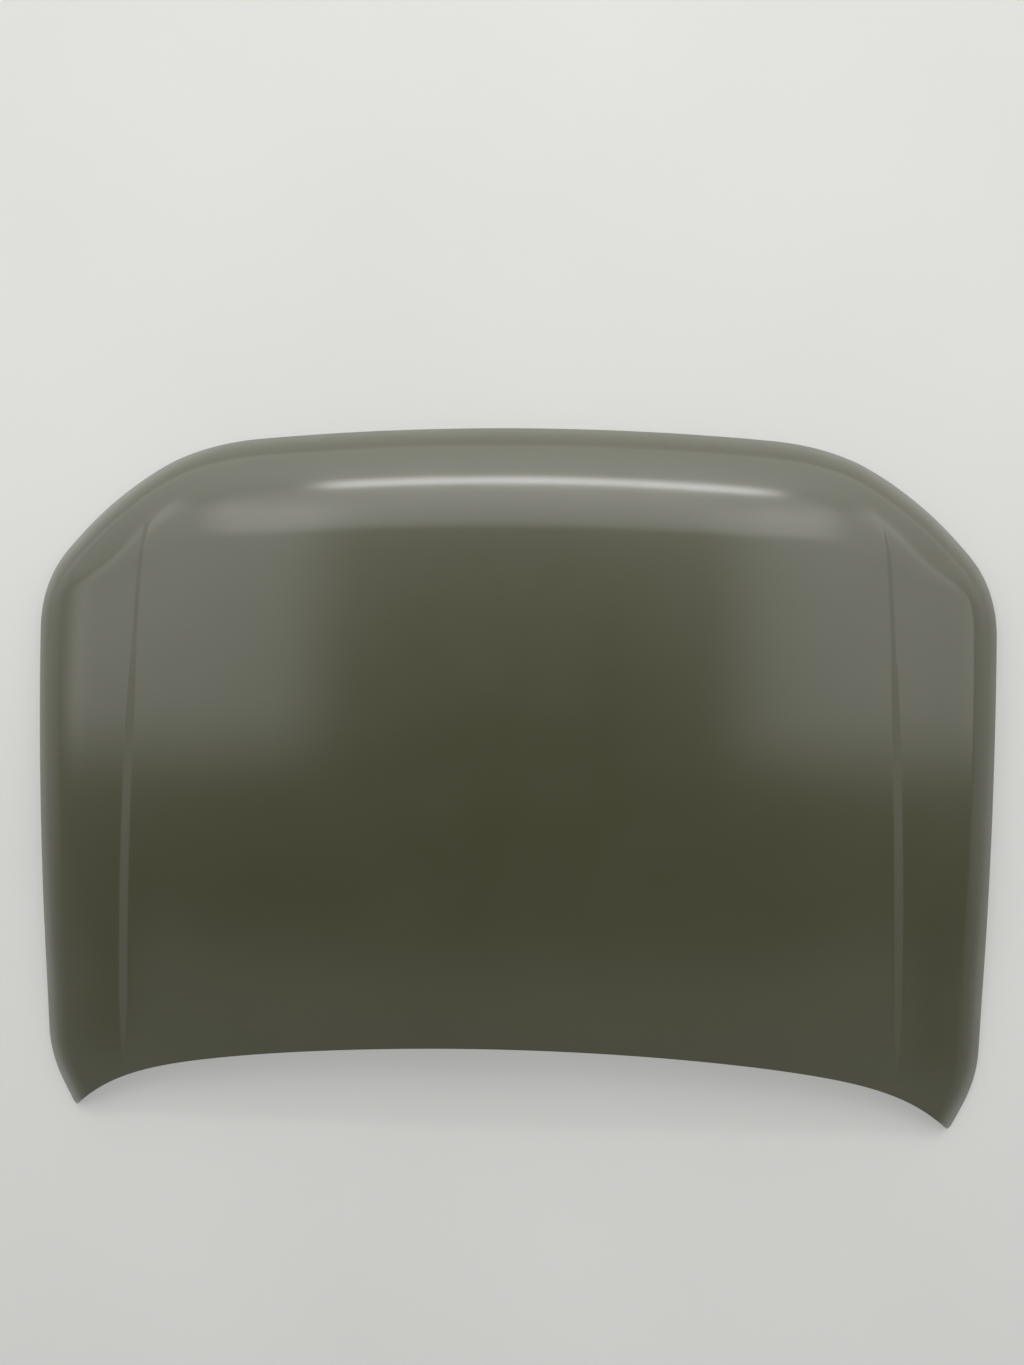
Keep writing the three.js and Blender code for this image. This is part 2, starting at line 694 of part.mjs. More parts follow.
// The latch plate lies on the front pad. The striker plate hangs under it on two bolts.
const latchLow = latchPadZ + clearance;
const latchHigh = latchLow + latchPlateSize[2];
const strikerHigh = latchPadZ - innerSheet - clearance;
const strikerLow = strikerHigh - strikerPlateSize[2];
const latchShape = roundedBox(0, latchY, latchPlateSize[0], latchPlateSize[1], plateRound);
const strikerShape = roundedBox(0, latchY, strikerPlateSize[0], strikerPlateSize[1], plateRound);
let latchPlate = prism(latchShape, latchLow, latchHigh);
let strikerPlate = prism(strikerShape, strikerLow, strikerHigh);
for (const [side, word] of sides) {
  const x = (side * strikerHoleGap) / 2;
  const bore = prism(ringPoints(x, latchY, nutBore / 2, 12), drillLow, drillHigh);
  latchPlate = latchPlate.subtract(bore);
  strikerPlate = strikerPlate.subtract(bore);
  const nutLow = latchHigh + clearance;
  const nutHigh = nutLow + nutHeight;
  const nut = prism(ringPoints(x, latchY, nutRound, 6), nutLow, nutHigh);
  addPiece("striker_nut_" + word, fromSolid(nut.subtract(bore)), zinc);
  const headHigh = strikerLow - clearance;
  const head = prism(ringPoints(x, latchY, nutRound, 6), headHigh - boltHeadHeight, headHigh);
  const shank = prism(ringPoints(x, latchY, nutBore / 2 - clearance, 12), headHigh - 1, nutHigh + 2);
  addPiece("striker_bolt_" + word, fromSolid(head.add(shank)), zinc);
}
addPiece("latch_plate", fromSolid(latchPlate), paint);
addPiece("striker_plate", fromSolid(strikerPlate), zinc);

// The striker loop is a bent wire: two legs and a bar with rounded corners between them.
const loopTop = strikerLow - clearance;
const loopLow = loopTop - loopDrop;
const loopBend = 9;
const halfLoop = loopSpan / 2;
const loopPoint = (x, z) => new THREE.Vector3(x, latchY, z);
const loopPath = new THREE.CurvePath();
const loopStops = [
  [loopPoint(-halfLoop, loopLow + loopBend), loopPoint(-halfLoop, loopLow)],
  [loopPoint(halfLoop - loopBend, loopLow), loopPoint(halfLoop, loopLow)],
];
const loopEnds = [
  loopPoint(-halfLoop + loopBend, loopLow),
  loopPoint(halfLoop, loopLow + loopBend),
];
loopPath.add(new THREE.LineCurve3(loopPoint(-halfLoop, loopTop), loopStops[0][0]));
loopPath.add(new THREE.QuadraticBezierCurve3(loopStops[0][0], loopStops[0][1], loopEnds[0]));
loopPath.add(new THREE.LineCurve3(loopEnds[0], loopStops[1][0]));
loopPath.add(new THREE.QuadraticBezierCurve3(loopStops[1][0], loopStops[1][1], loopEnds[1]));
loopPath.add(new THREE.LineCurve3(loopEnds[1], loopPoint(halfLoop, loopTop)));

// Sweeps a circle of the wire's size along a path in an upright plane and closes both ends.
function sweepWire(path, radius, steps, count) {
  const up = new THREE.Vector3(0, 1, 0);
  const rings = Array.from({ length: steps + 1 }, (_, k) => {
    const centre = path.getPointAt(k / steps);
    const out = new THREE.Vector3().crossVectors(path.getTangentAt(k / steps), up).normalize();
    return Array.from({ length: count }, (_, m) => {
      const angle = (m * 2 * Math.PI) / count;
      const point = centre.clone().addScaledVector(out, radius * Math.cos(angle));
      return point.addScaledVector(up, radius * Math.sin(angle));
    });
  });
  const triangles = [];
  for (let k = 0; k < steps; k++) {
    for (let m = 0; m < count; m++) {
      const n = (m + 1) % count;
      triangles.push([rings[k][m], rings[k + 1][n], rings[k][n]]);
      triangles.push([rings[k][m], rings[k + 1][m], rings[k + 1][n]]);
    }
  }
  for (let m = 1; m + 1 < count; m++) {
    triangles.push([rings[0][0], rings[0][m], rings[0][m + 1]]);
    triangles.push([rings[steps][0], rings[steps][m + 1], rings[steps][m]]);
  }
  return triangles;
}

addPiece("striker_loop", toGeometry(sweepWire(loopPath, wireRound / 2, 22, 10)), zinc);

// Mastic dabs fill the space between the panel's fields and the skin.
function makeDab(x, y) {
  const count = 10;
  const spots = ringPoints(x, y, dabRound / 2, count);
  const high = (p) => new THREE.Vector3(p[0], p[1], heightOn(skinLow, p[0], p[1]) - clearance);
  const low = (p) => new THREE.Vector3(p[0], p[1], heightOn(panelTop, p[0], p[1]) + clearance);
  return spots.flatMap((p, k) => {
    const q = spots[(k + 1) % count];
    return [
      [high([x, y]), high(p), high(q)],
      [low([x, y]), low(q), low(p)],
      [low(p), low(q), high(q)],
      [low(p), high(q), high(p)],
    ];
  });
}

// Each dab stands on the rim beside a lightening hole.
const dabSpots = holes.flatMap((hole) => {
  if (hole.width < 4 * dabRound) return [];
  const ahead = [hole.x, hole.y + hole.length / 2 + dabRound / 2 + 1];
  const behind = [hole.x, hole.y - hole.length / 2 - dabRound / 2 - 1];
  return [ahead, behind];
});
dabSpots.forEach(([x, y], k) => {
  for (const [side, word] of sides) {
    addPiece("mastic_" + word + "_" + (k + 1), toGeometry(makeDab(side * x, y)), mastic);
  }
});

export default bonnet;
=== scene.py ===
import math

import bmesh
import bpy
import numpy as np
from mathutils import Matrix, Vector


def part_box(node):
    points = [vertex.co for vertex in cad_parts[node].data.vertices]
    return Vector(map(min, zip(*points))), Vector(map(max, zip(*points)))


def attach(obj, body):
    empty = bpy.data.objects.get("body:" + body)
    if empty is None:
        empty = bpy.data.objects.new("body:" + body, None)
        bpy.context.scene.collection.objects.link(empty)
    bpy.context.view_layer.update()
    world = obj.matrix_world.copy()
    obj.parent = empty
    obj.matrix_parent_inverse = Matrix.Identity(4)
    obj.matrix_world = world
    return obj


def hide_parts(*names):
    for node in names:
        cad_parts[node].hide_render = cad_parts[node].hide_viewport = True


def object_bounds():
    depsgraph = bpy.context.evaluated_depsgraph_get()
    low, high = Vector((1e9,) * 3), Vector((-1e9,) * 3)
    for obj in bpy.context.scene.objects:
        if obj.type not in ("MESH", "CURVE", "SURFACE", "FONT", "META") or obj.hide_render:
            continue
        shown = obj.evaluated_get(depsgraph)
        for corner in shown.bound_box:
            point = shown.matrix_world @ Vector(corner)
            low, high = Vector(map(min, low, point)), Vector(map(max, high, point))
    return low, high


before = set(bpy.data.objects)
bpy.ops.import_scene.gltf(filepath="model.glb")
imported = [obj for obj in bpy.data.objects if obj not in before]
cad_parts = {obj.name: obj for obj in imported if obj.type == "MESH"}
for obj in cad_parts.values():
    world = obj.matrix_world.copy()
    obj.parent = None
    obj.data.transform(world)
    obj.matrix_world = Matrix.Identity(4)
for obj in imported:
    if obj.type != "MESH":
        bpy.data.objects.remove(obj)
cadBox = [[float(v) for v in corner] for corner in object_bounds()]
scene = bpy.context.scene
scene.view_settings.view_transform = "Standard"
print("stage: frame loaded")

# Plan outline of the right half and height of the skin, with the sizes of the solids. Only the
# scene has the blended facing of the roll and this softness of the crease.
plan = {
    "halfWidth": 754, "frontY": 551.5, "noseX": 483, "noseY": 529.5, "noseRound": 80,
    "diagonalBow": 26.6, "cornerY": 306, "cornerRound": 75, "sideHollow": -1.15,
    "tailX": 748.5, "tailY": -470.5, "tailRound": 48, "tipX": 707, "tipRound": 9,
    "rearY": -404.3, "rearArc": 3091, "tipSweep": 70.4, "sweepPower": 8.5, "tipLean": 0.35,
}
crown = {
    "apexHeight": 131.35, "apexY": 18.6, "lengthArc": 3400, "crossArc": 5200,
    "shoulderX": 420, "shoulderArc": 2400, "rollWidth": 46, "rollArcSide": 65,
    "rollArcFront": 43, "noseWidth": 170, "noseArc": 300, "facingBlend": 12,
}
crease = {
    "x": 585.5, "slope": 0.0445, "hookY": 298, "hook": 6, "hookReach": 100, "narrow": 7,
    "widen": 9, "endPower": 12,
    "depth": 3.8, "frontFade": (412, 290), "rearFade": (-477, -332),
    "bandFrontFade": (238, 88), "bandRearFade": (-452, -332), "soft": 1.2, "margin": 4,
}
hem = {
    "skinSheet": 0.7, "innerSheet": 0.6, "gap": 0.3, "leg": 14, "frontLegShare": 0.5,
    "tipLeg": 4, "tipLegGrowth": 0.2, "slopeFrom": 1.0, "slopeTo": 0.4,
    "topShares": [0, 0.3, 0.55, 0.78, 1.0], "outerBendSteps": 8, "innerBendSteps": 4,
}

# How many pieces each run of the outline is drawn with, and how many points are measured
# against the outline at a time.
outlineSteps = {"front": 300, "diagonal": 300, "side": 500, "tail": 200, "rear": 800, "round": 24}
chunk = 4000
metre = 0.001


def ramp(value, a, b):
    t = np.clip((value - a) / (b - a), 0, 1)
    return t * t * (3 - 2 * t)


def mixed(a, b, t):
    return a + (b - a) * t


# A straight run from a to b, pushed to its left by a parabola.
def bowedEdge(a, b, bow, count):
    a, b = np.array(a, float), np.array(b, float)
    t = np.linspace(0, 1, count + 1)[:, None]
    left = np.array([a[1] - b[1], b[0] - a[0]]) / np.hypot(*(b - a))
    return a + (b - a) * t + left * (bow * 4 * t * (1 - t))


# Rear edge: a wide arc, and a power curve that sweeps its ends back to the tips.
def rearEdgeY(x):
    swept = plan["tipSweep"] * (np.abs(x) / plan["tipX"]) ** plan["sweepPower"]
    return plan["rearY"] - x * x / (2 * plan["rearArc"]) - swept


# Cuts both runs back from their corner and bridges them with a curve tangent to both.
def roundCorner(before, after, cut):
    corner = before[-1]
    e0 = before[np.hypot(*(before - corner).T) >= cut]
    e1 = after[np.hypot(*(after - corner).T) >= cut]
    p0, p1 = e0[-1], e1[0]
    t0, t1 = e0[-1] - e0[-2], e1[1] - e1[0]
    across = (p1[0] - p0[0]) * t1[1] - (p1[1] - p0[1]) * t1[0]
    meet = p0 + t0 * across / (t0[0] * t1[1] - t0[1] * t1[0])
    t = np.linspace(0, 1, outlineSteps["round"] + 1)[1:-1, None]
    return e0, (1 - t) ** 2 * p0 + 2 * t * (1 - t) * meet + t * t * p1, e1


def traceOutline():
    t = np.linspace(0, 1, outlineSteps["front"] + 1)
    drop = plan["frontY"] - plan["noseY"]
    front = np.stack([plan["noseX"] * t, plan["frontY"] - drop * t * t], 1)
    nose = [plan["noseX"], plan["noseY"]]
    corner = [plan["halfWidth"], plan["cornerY"]]
    tailTop = [plan["tailX"], plan["tailY"]]
    tip = [plan["tipX"], float(rearEdgeY(plan["tipX"]))]
    x = plan["tipX"] * (1 - np.linspace(0, 1, outlineSteps["rear"] + 1))
    rear = np.stack([x, rearEdgeY(x)], 1)
    diagonal = bowedEdge(nose, corner, plan["diagonalBow"], outlineSteps["diagonal"])
    side = bowedEdge(corner, tailTop, plan["sideHollow"], outlineSteps["side"])
    tail = bowedEdge(tailTop, tip, 0, outlineSteps["tail"])
    front, noseBend, diagonal = roundCorner(front, diagonal, plan["noseRound"])
    diagonal, cornerBend, side = roundCorner(diagonal, side, plan["cornerRound"])
    side, tailBend, tail = roundCorner(side, tail, plan["tailRound"])
    tail, tipBend, rear = roundCorner(tail, rear, plan["tipRound"])
    runs = [front, noseBend, diagonal, cornerBend, side, tailBend, tail, tipBend, rear]
    line = np.concatenate(runs)[::-1]
    run = np.concatenate([[0], np.cumsum(np.hypot(*np.diff(line, axis=0).T))])
    even = np.arange(0, run[-1], 1.0)
    even = np.append(even[:-1], run[-1])
    return even, np.stack([np.interp(even, run, line[:, 0]), np.interp(even, run, line[:, 1])], 1)


edgeRun, edgeLine = traceOutline()
step = np.roll(edgeLine, -2, 0) - np.roll(edgeLine, 2, 0)
step[:2] = [1, 0]
step[-2:] = [-1, 0]
edgeNormal = np.stack([step[:, 1], -step[:, 0]], 1) / np.hypot(*step.T)[:, None]
tipRun = edgeRun[np.argmin(edgeLine[:, 1] - plan["tipLean"] * edgeLine[:, 0])]
cornerRun = edgeRun[np.argmin(np.hypot(*(edgeLine - [plan["halfWidth"], plan["cornerY"]]).T))]
rolled = edgeRun >= tipRun
rollStart = np.vstack([edgeLine[rolled][:-1:2], edgeLine[-1]])
rollFacing = np.append(edgeNormal[rolled][:-1:2, 1], edgeNormal[-1, 1])


# Exact distance to the rolled edge, from the tip round to the front, and how far it faces ahead,
# as a mean over the stretch of edge that lies nearly as close.
def rolledEdge(x, y):
    shape = np.shape(x)
    px, py = np.abs(x).ravel(), np.asarray(y).ravel()
    a, d = rollStart[:-1], np.diff(rollStart, axis=0)
    square = (d * d).sum(1)
    ahead = (rollFacing[:-1] + rollFacing[1:]) / 2
    distance, facing = np.empty(px.size), np.empty(px.size)
    for k in range(0, px.size, chunk):
        ex = px[k:k + chunk, None] - a[:, 0]
        ey = py[k:k + chunk, None] - a[:, 1]
        t = np.clip((ex * d[:, 0] + ey * d[:, 1]) / square, 0, 1)
        gap = np.sqrt((ex - t * d[:, 0]) ** 2 + (ey - t * d[:, 1]) ** 2)
        near = gap.min(1)
        weight = np.exp((near[:, None] - gap) / crown["facingBlend"])
        distance[k:k + chunk] = near
        facing[k:k + chunk] = weight @ ahead / weight.sum(1)
    return distance.reshape(shape), np.clip(facing, 0, 1).reshape(shape)


def creaseLine(y):
    hook = np.maximum(0, (y - crease["hookY"]) / crease["hookReach"])
    return crease["x"] - crease["slope"] * y - crease["hook"] * hook * hook


def creaseBand(y):
    wide = ramp(y, *crease["bandFrontFade"]) * ramp(y, *crease["bandRearFade"])
    return crease["narrow"] + crease["widen"] * wide


# Height of the skin: two crossing arcs, rounder shoulders, the crease as a ramp whose two
# corners are softened by square roots, the long bend of the nose and the rolled edge.
def skinHeight(x, y):
    ax = np.abs(x)
    distance, facing = rolledEdge(x, y)
    long = (y - crown["apexY"]) ** 2 / (2 * crown["lengthArc"])
    shoulder = np.maximum(0, ax - crown["shoulderX"]) ** 2 / (2 * crown["shoulderArc"])
    cross = ax * ax / (2 * crown["crossArc"]) + shoulder
    drop = crease["depth"] * ramp(y, *crease["frontFade"]) * ramp(y, *crease["rearFade"])
    t = (ax - creaseLine(y)) / creaseBand(y) + 0.5
    soft = (crease["soft"] / creaseBand(y)) ** 2
    step = drop * 0.5 * (1 + np.sqrt(t * t + soft) - np.sqrt((t - 1) ** 2 + soft))
    arc = mixed(crown["rollArcSide"], crown["rollArcFront"], facing)
    roll = np.maximum(0, crown["rollWidth"] - distance) ** 2 / (2 * arc)
    nose = np.maximum(0, crown["noseWidth"] * facing - distance) ** 2 / (2 * crown["noseArc"])
    return crown["apexHeight"] - long - cross - step - roll - nose


def onEdge(run):
    run = np.asarray(run, float)
    both = [np.interp(run, edgeRun, edgeLine[:, k]) for k in (0, 1)]
    side = [np.interp(run, edgeRun, edgeNormal[:, k]) for k in (0, 1)]
    normal = np.stack(side, -1)
    return np.stack(both, -1), normal / np.linalg.norm(normal, axis=-1, keepdims=True)


# Length in plan of the folded leg: shorter at the front and towards the tips.
def legAt(point, normal):
    tip = onEdge(tipRun)[0]
    share = 1 - (1 - hem["frontLegShare"]) * np.clip(normal[..., 1], 0, 1)
    fromTip = np.linalg.norm(point - tip, axis=-1)
    return np.minimum(hem["leg"] * share, hem["tipLeg"] + hem["tipLegGrowth"] * fromTip)


# Where on the outline the crease lines end, at a distance from the crease's middle.
def creaseEnd(front, side, margin):
    y = edgeLine[:, 1]
    offset = np.abs(edgeLine[:, 0] - creaseLine(y) - side * (creaseBand(y) / 2 + margin))
    return edgeRun[np.argmin(np.where((y > 0) == front, offset, math.inf))]


def shares(points):
    run = np.concatenate([[0], np.cumsum(np.linalg.norm(np.diff(points, axis=0), axis=1))])
    return run / run[-1]


# A patch between four boundary runs, blended so that it meets all of them.
def fillPatch(rear, front, left, right):
    uRear, uFront = shares(rear)[:, None], shares(front)[:, None]
    vLeft, vRight = shares(left)[None], shares(right)[None]
    v = mixed(vLeft, vRight, (uRear + uFront) / 2)
    u = mixed(uRear, uFront, v)
    v, u = v[..., None], u[..., None]
    corners = mixed(mixed(rear[0], rear[-1], u), mixed(front[0], front[-1], u), v)
    along = mixed(rear[:, None], front[:, None], v)
    return along + mixed(left[None], right[None], u) - corners


# The plan grid of a pressing's right half: middle field, crease and flank, with the shares of
# its lines. It also gives the outline positions of its rear, side and front border.
def planGrid(middle, band, flank, rows, margin):
    last = edgeRun[-1]
    inner, outer = creaseEnd(False, -1, margin), creaseEnd(False, 1, margin)
    rearRun = np.concatenate([mixed(0, inner, middle), mixed(inner, outer, band)[1:],
                              mixed(outer, tipRun, flank)[1:]])
    inner, outer = creaseEnd(True, -1, margin), creaseEnd(True, 1, margin)
    frontRun = np.concatenate([mixed(last, inner, middle), mixed(inner, outer, band)[1:],
                               mixed(outer, cornerRun, flank)[1:]])
    sideRun = mixed(tipRun, cornerRun, rows)

    def ring(run):
        point, normal = onEdge(run)
        flat = point - normal * legAt(point, normal)[:, None]
        flat[np.isclose(run, 0) | np.isclose(run, last), 0] = 0
        return flat

    rear, front, side = ring(rearRun), ring(frontRun), ring(sideRun)
    a, b = middle.size - 1, middle.size + band.size - 2

    def creaseCurve(sign, start, end):
        y = mixed(start[1], end[1], rows)
        x = creaseLine(y) + sign * (creaseBand(y) / 2 + margin)
        power = crease["endPower"]
        x = x + (start[0] - x[0]) * (1 - rows) ** power + (end[0] - x[-1]) * rows ** power
        return np.stack([x, y], 1)

    centre = np.stack([np.zeros(rows.size), mixed(rear[0, 1], front[0, 1], rows)], 1)
    left = creaseCurve(-1, rear[a], front[a])
    right = creaseCurve(1, rear[b], front[b])
    grid = np.concatenate([
        fillPatch(rear[:a + 1], front[:a + 1], centre, left),
        fillPatch(rear[a:b + 1], front[a:b + 1], left, right)[1:],
        fillPatch(rear[b:], front[b:], right, side)[1:],
    ])
    return grid, rearRun, sideRun, frontRun


# Unit normals of a grid of points, from the differences along its two directions.
def gridNormals(grid):
    normal = np.cross(np.gradient(grid, axis=0), np.gradient(grid, axis=1))
    return normal / np.linalg.norm(normal, axis=-1, keepdims=True)


# Both halves of a grid that is drawn for the right side.
def bothHalves(grid):
    flipped = grid[:0:-1] * ([-1] + [1] * (grid.shape[-1] - 1))
    return np.concatenate([flipped, grid])


def gridFaces(columns, rows, first=0):
    k = first + np.arange(columns * rows).reshape(columns, rows)
    return np.stack([k[:-1, :-1], k[1:, :-1], k[1:, 1:], k[:-1, 1:]], -1).reshape(-1, 4)


# Indices of a full grid's border, once round counterclockwise from its rear left corner.
def borderLoop(columns, rows):
    k = np.arange(columns * rows).reshape(columns, rows)
    return np.concatenate([k[:-1, 0], k[-1, :-1], k[:0:-1, -1], k[0, :0:-1]])


# Makes a piece whose edges stay sharp above an angle in degrees.
def addObject(name, points, faces, material, sharp=40):
    mesh = bpy.data.meshes.new(name)
    mesh.from_pydata(points.tolist(), [], [tuple(f) for f in faces.tolist()])
    return addMesh(name, mesh, material, sharp)


def addMesh(name, mesh, material, sharp=40):
    mesh.polygons.foreach_set("use_smooth", np.ones(len(mesh.polygons), bool))
    mesh.set_sharp_from_angle(angle=math.radians(sharp))
    mesh.materials.clear()
    mesh.materials.append(material)
    mesh.validate()
    piece = bpy.data.objects.new(name, mesh)
    scene.collection.objects.link(piece)
    return piece


# A node material, with the given constant values on its shader's own sockets.
def newMaterial(name, values):
    material = bpy.data.materials.new(name)
    material.use_nodes = True
    tree = material.node_tree
    shader = tree.nodes["Principled BSDF"]
    for socket, value in values.items():
        shader.inputs[socket].default_value = value
    place = tree.nodes.new("ShaderNodeTexCoord").outputs["Object"]
    return material, tree, shader, place


def addNoise(tree, place, scale, detail=2.0, rough=0.5, stretch=(1, 1, 1)):
    spot = tree.nodes.new("ShaderNodeMapping")
    spot.inputs["Scale"].default_value = stretch
    noise = tree.nodes.new("ShaderNodeTexNoise")
    noise.inputs["Scale"].default_value = scale
    noise.inputs["Detail"].default_value = detail
    noise.inputs["Roughness"].default_value = rough
    tree.links.new(place, spot.inputs["Vector"])
    tree.links.new(spot.outputs["Vector"], noise.inputs["Vector"])
    return noise.outputs["Fac"]


def addRange(tree, value, low, high, fromLow=0.3, fromHigh=0.7):
    node = tree.nodes.new("ShaderNodeMapRange")
    for k, v in zip(("From Min", "From Max", "To Min", "To Max"), (fromLow, fromHigh, low, high)):
        node.inputs[k].default_value = v
    tree.links.new(value, node.inputs["Value"])
    return node.outputs["Result"]


def addMix(tree, factor, a, b):
    node = tree.nodes.new("ShaderNodeMix")
    node.data_type = "RGBA"
    for key, value in ((0, factor), (6, a), (7, b)):
        if isinstance(value, bpy.types.NodeSocket):
            tree.links.new(value, node.inputs[key])
        else:
            node.inputs[key].default_value = value
    return node.outputs[2]


def addProduct(tree, a, b):
    node = tree.nodes.new("ShaderNodeMath")
    node.operation = "MULTIPLY"
    tree.links.new(a, node.inputs[0])
    if isinstance(b, bpy.types.NodeSocket):
        tree.links.new(b, node.inputs[1])
    else:
        node.inputs[1].default_value = b
    return node.outputs["Value"]


# Mixes two shaders and leads them to the output.
def showShaders(tree, output, factor, first, second):
    mix = tree.nodes.new("ShaderNodeMixShader")
    for key, value in enumerate((factor, first, second)):
        tree.links.new(value, mix.inputs[key])
    tree.links.new(mix.outputs["Shader"], tree.nodes[output].inputs["Surface"])


def addBump(tree, height, shader, distance, after=None):
    bump = tree.nodes.new("ShaderNodeBump")
    bump.inputs["Strength"].default_value = 1
    bump.inputs["Distance"].default_value = distance
    tree.links.new(height, bump.inputs["Height"])
    if after:
        tree.links.new(after, bump.inputs["Normal"])
    tree.links.new(bump.outputs["Normal"], shader.inputs["Normal"])
    return bump.outputs["Normal"]


# Dipped primer: an even grey green with slow drifts of tone, a fine speck, a faint peel in the
# film and gloss that varies a little from place to place.
def makePrimer(name, light, dark, gloss, peel, coat):
    material, tree, shader, place = newMaterial(name, {
        "IOR": 1.5, "Coat Weight": coat, "Coat Roughness": 0.13, "Coat IOR": 1.45})
    slow = addRange(tree, addNoise(tree, place, 2.6, 3), 0, 1)
    speck = addRange(tree, addNoise(tree, place, 1400, 2), 0.0, 0.16, 0.5, 0.75)
    tone = addMix(tree, slow, (*dark, 1), (*light, 1))
    grain = tuple(v * 1.5 for v in light)
    tree.links.new(addMix(tree, speck, tone, (*grain, 1)), shader.inputs["Base Color"])
    drift = addRange(tree, addNoise(tree, place, 9, 4, 0.6), gloss[0], gloss[1])
    tree.links.new(drift, shader.inputs["Roughness"])
    film = addBump(tree, addNoise(tree, place, 420, 2), shader, peel)
    addBump(tree, addNoise(tree, place, 2600, 1), shader, peel * 0.12, film)
    return material


skinPaint = makePrimer("primerSkin", light=(0.048, 0.049, 0.022), dark=(0.043, 0.044, 0.019),
                       gloss=(0.36, 0.44), peel=5e-6, coat=0.9)
panelPaint = makePrimer("primerPanel", light=(0.056, 0.057, 0.032), dark=(0.047, 0.048, 0.027),
                        gloss=(0.40, 0.5), peel=1.2e-5, coat=0.25)
platePaint = makePrimer("primerPlate", light=(0.052, 0.053, 0.031), dark=(0.043, 0.044, 0.026),
                        gloss=(0.42, 0.55), peel=1.5e-5, coat=0.2)


# Zinc plate: metal with a faintly warm and cool cloud and fine drawn marks.
def makeZinc():
    material, tree, shader, place = newMaterial("zincPlate", {"Metallic": 1.0})
    cloud = addRange(tree, addNoise(tree, place, 60, 3, 0.6), 0, 1)
    tone = addMix(tree, cloud, (0.50, 0.50, 0.47, 1), (0.60, 0.61, 0.62, 1))
    tree.links.new(tone, shader.inputs["Base Color"])
    rough = addRange(tree, addNoise(tree, place, 220, 3), 0.26, 0.42)
    tree.links.new(rough, shader.inputs["Roughness"])
    addBump(tree, addNoise(tree, place, 900, 2, 0.5, (1, 1, 0.2)), shader, 1.5e-5)
    return material


# Mastic: nearly black, dull, with the lumps of a squeezed bead.
def makeMastic():
    material, tree, shader, place = newMaterial("masticBead", {})
    cloud = addRange(tree, addNoise(tree, place, 120, 3), 0, 1)
    tone = addMix(tree, cloud, (0.022, 0.022, 0.024, 1), (0.040, 0.040, 0.041, 1))
    tree.links.new(tone, shader.inputs["Base Color"])
    rough = addRange(tree, addNoise(tree, place, 300, 2), 0.6, 0.8)
    tree.links.new(rough, shader.inputs["Roughness"])
    addBump(tree, addNoise(tree, place, 260, 3), shader, 4e-4)
    return material


zincPlate, masticBead = makeZinc(), makeMastic()
print("stage: materials")


# The folded edge at outline positions: the top run, the bend, the leg underneath with its cut
# end, and the inner faces of the fold. The section lies in the upright plane of the normal.
def hemSections(run):
    point, normal = onEdge(run)
    leg = legAt(point, normal)
    stack = 2 * hem["skinSheet"] + hem["innerSheet"] + 2 * hem["gap"]
    bend = stack / 2

    def heightAt(r):
        spot = point[:, None] + normal[:, None] * r[..., None]
        return skinHeight(spot[..., 0], spot[..., 1])

    far, close = -bend - hem["slopeFrom"], -hem["slopeTo"]
    drop = heightAt(np.tile([far, close], (leg.size, 1))) @ [1, -1]
    slope = np.arctan2(drop, close - far)
    start = -bend + bend * np.sin(slope)
    r = -leg[:, None] + (start + leg)[:, None] * np.array(hem["topShares"])
    z = heightAt(r)
    tilt = np.arctan2(-np.gradient(z, axis=1), np.gradient(r, axis=1))
    tilt[:, -1] = slope
    hub = np.stack([r[:, -1] - bend * np.sin(slope), z[:, -1] - bend * np.cos(slope)], -1)

    def turned(depth):
        return np.stack([r - np.sin(tilt) * depth, z - np.cos(tilt) * depth], -1)

    def arc(radius, angles):
        a = slope[:, None] + angles
        return hub[:, None] + radius * np.stack([np.sin(a), np.cos(a)], -1)

    outer = arc(bend, np.linspace(0, math.pi, hem["outerBendSteps"] + 1)[1:-1])
    inside = arc(bend - hem["skinSheet"], np.linspace(math.pi, 0, hem["innerBendSteps"] + 1)[1:-1])
    low = turned(stack)[:, ::-1]
    back = turned(stack - hem["skinSheet"])[:, [0, 2, 4]]
    top = turned(hem["skinSheet"])[:, [4, 2, 0]]
    flat = np.concatenate([turned(0), outer, low, back, inside, top], 1)
    spot = point[:, None] + normal[:, None] * flat[..., :1]
    return np.concatenate([spot, flat[..., 1:]], -1)


# The section points of the whole border, in the same order as borderLoop.
def borderSections(rearRun, sideRun, frontRun):
    rear, side, front = (hemSections(run) for run in (rearRun, sideRun, frontRun))
    flip = [-1, 1, 1]
    return np.concatenate([
        rear[:0:-1] * flip, rear[:-1], side[:-1], front[:0:-1],
        front[:-1] * flip, side[:0:-1] * flip,
    ])


# How finely the skin is drawn: pieces across each part, and along it behind and in front of
# the share where the rows get closer. The inner face takes every third line.
skinSteps = {"middle": 66, "band": 18, "flank": 36, "rear": 130, "front": 70,
             "closerFrom": 0.8, "underStep": 3}


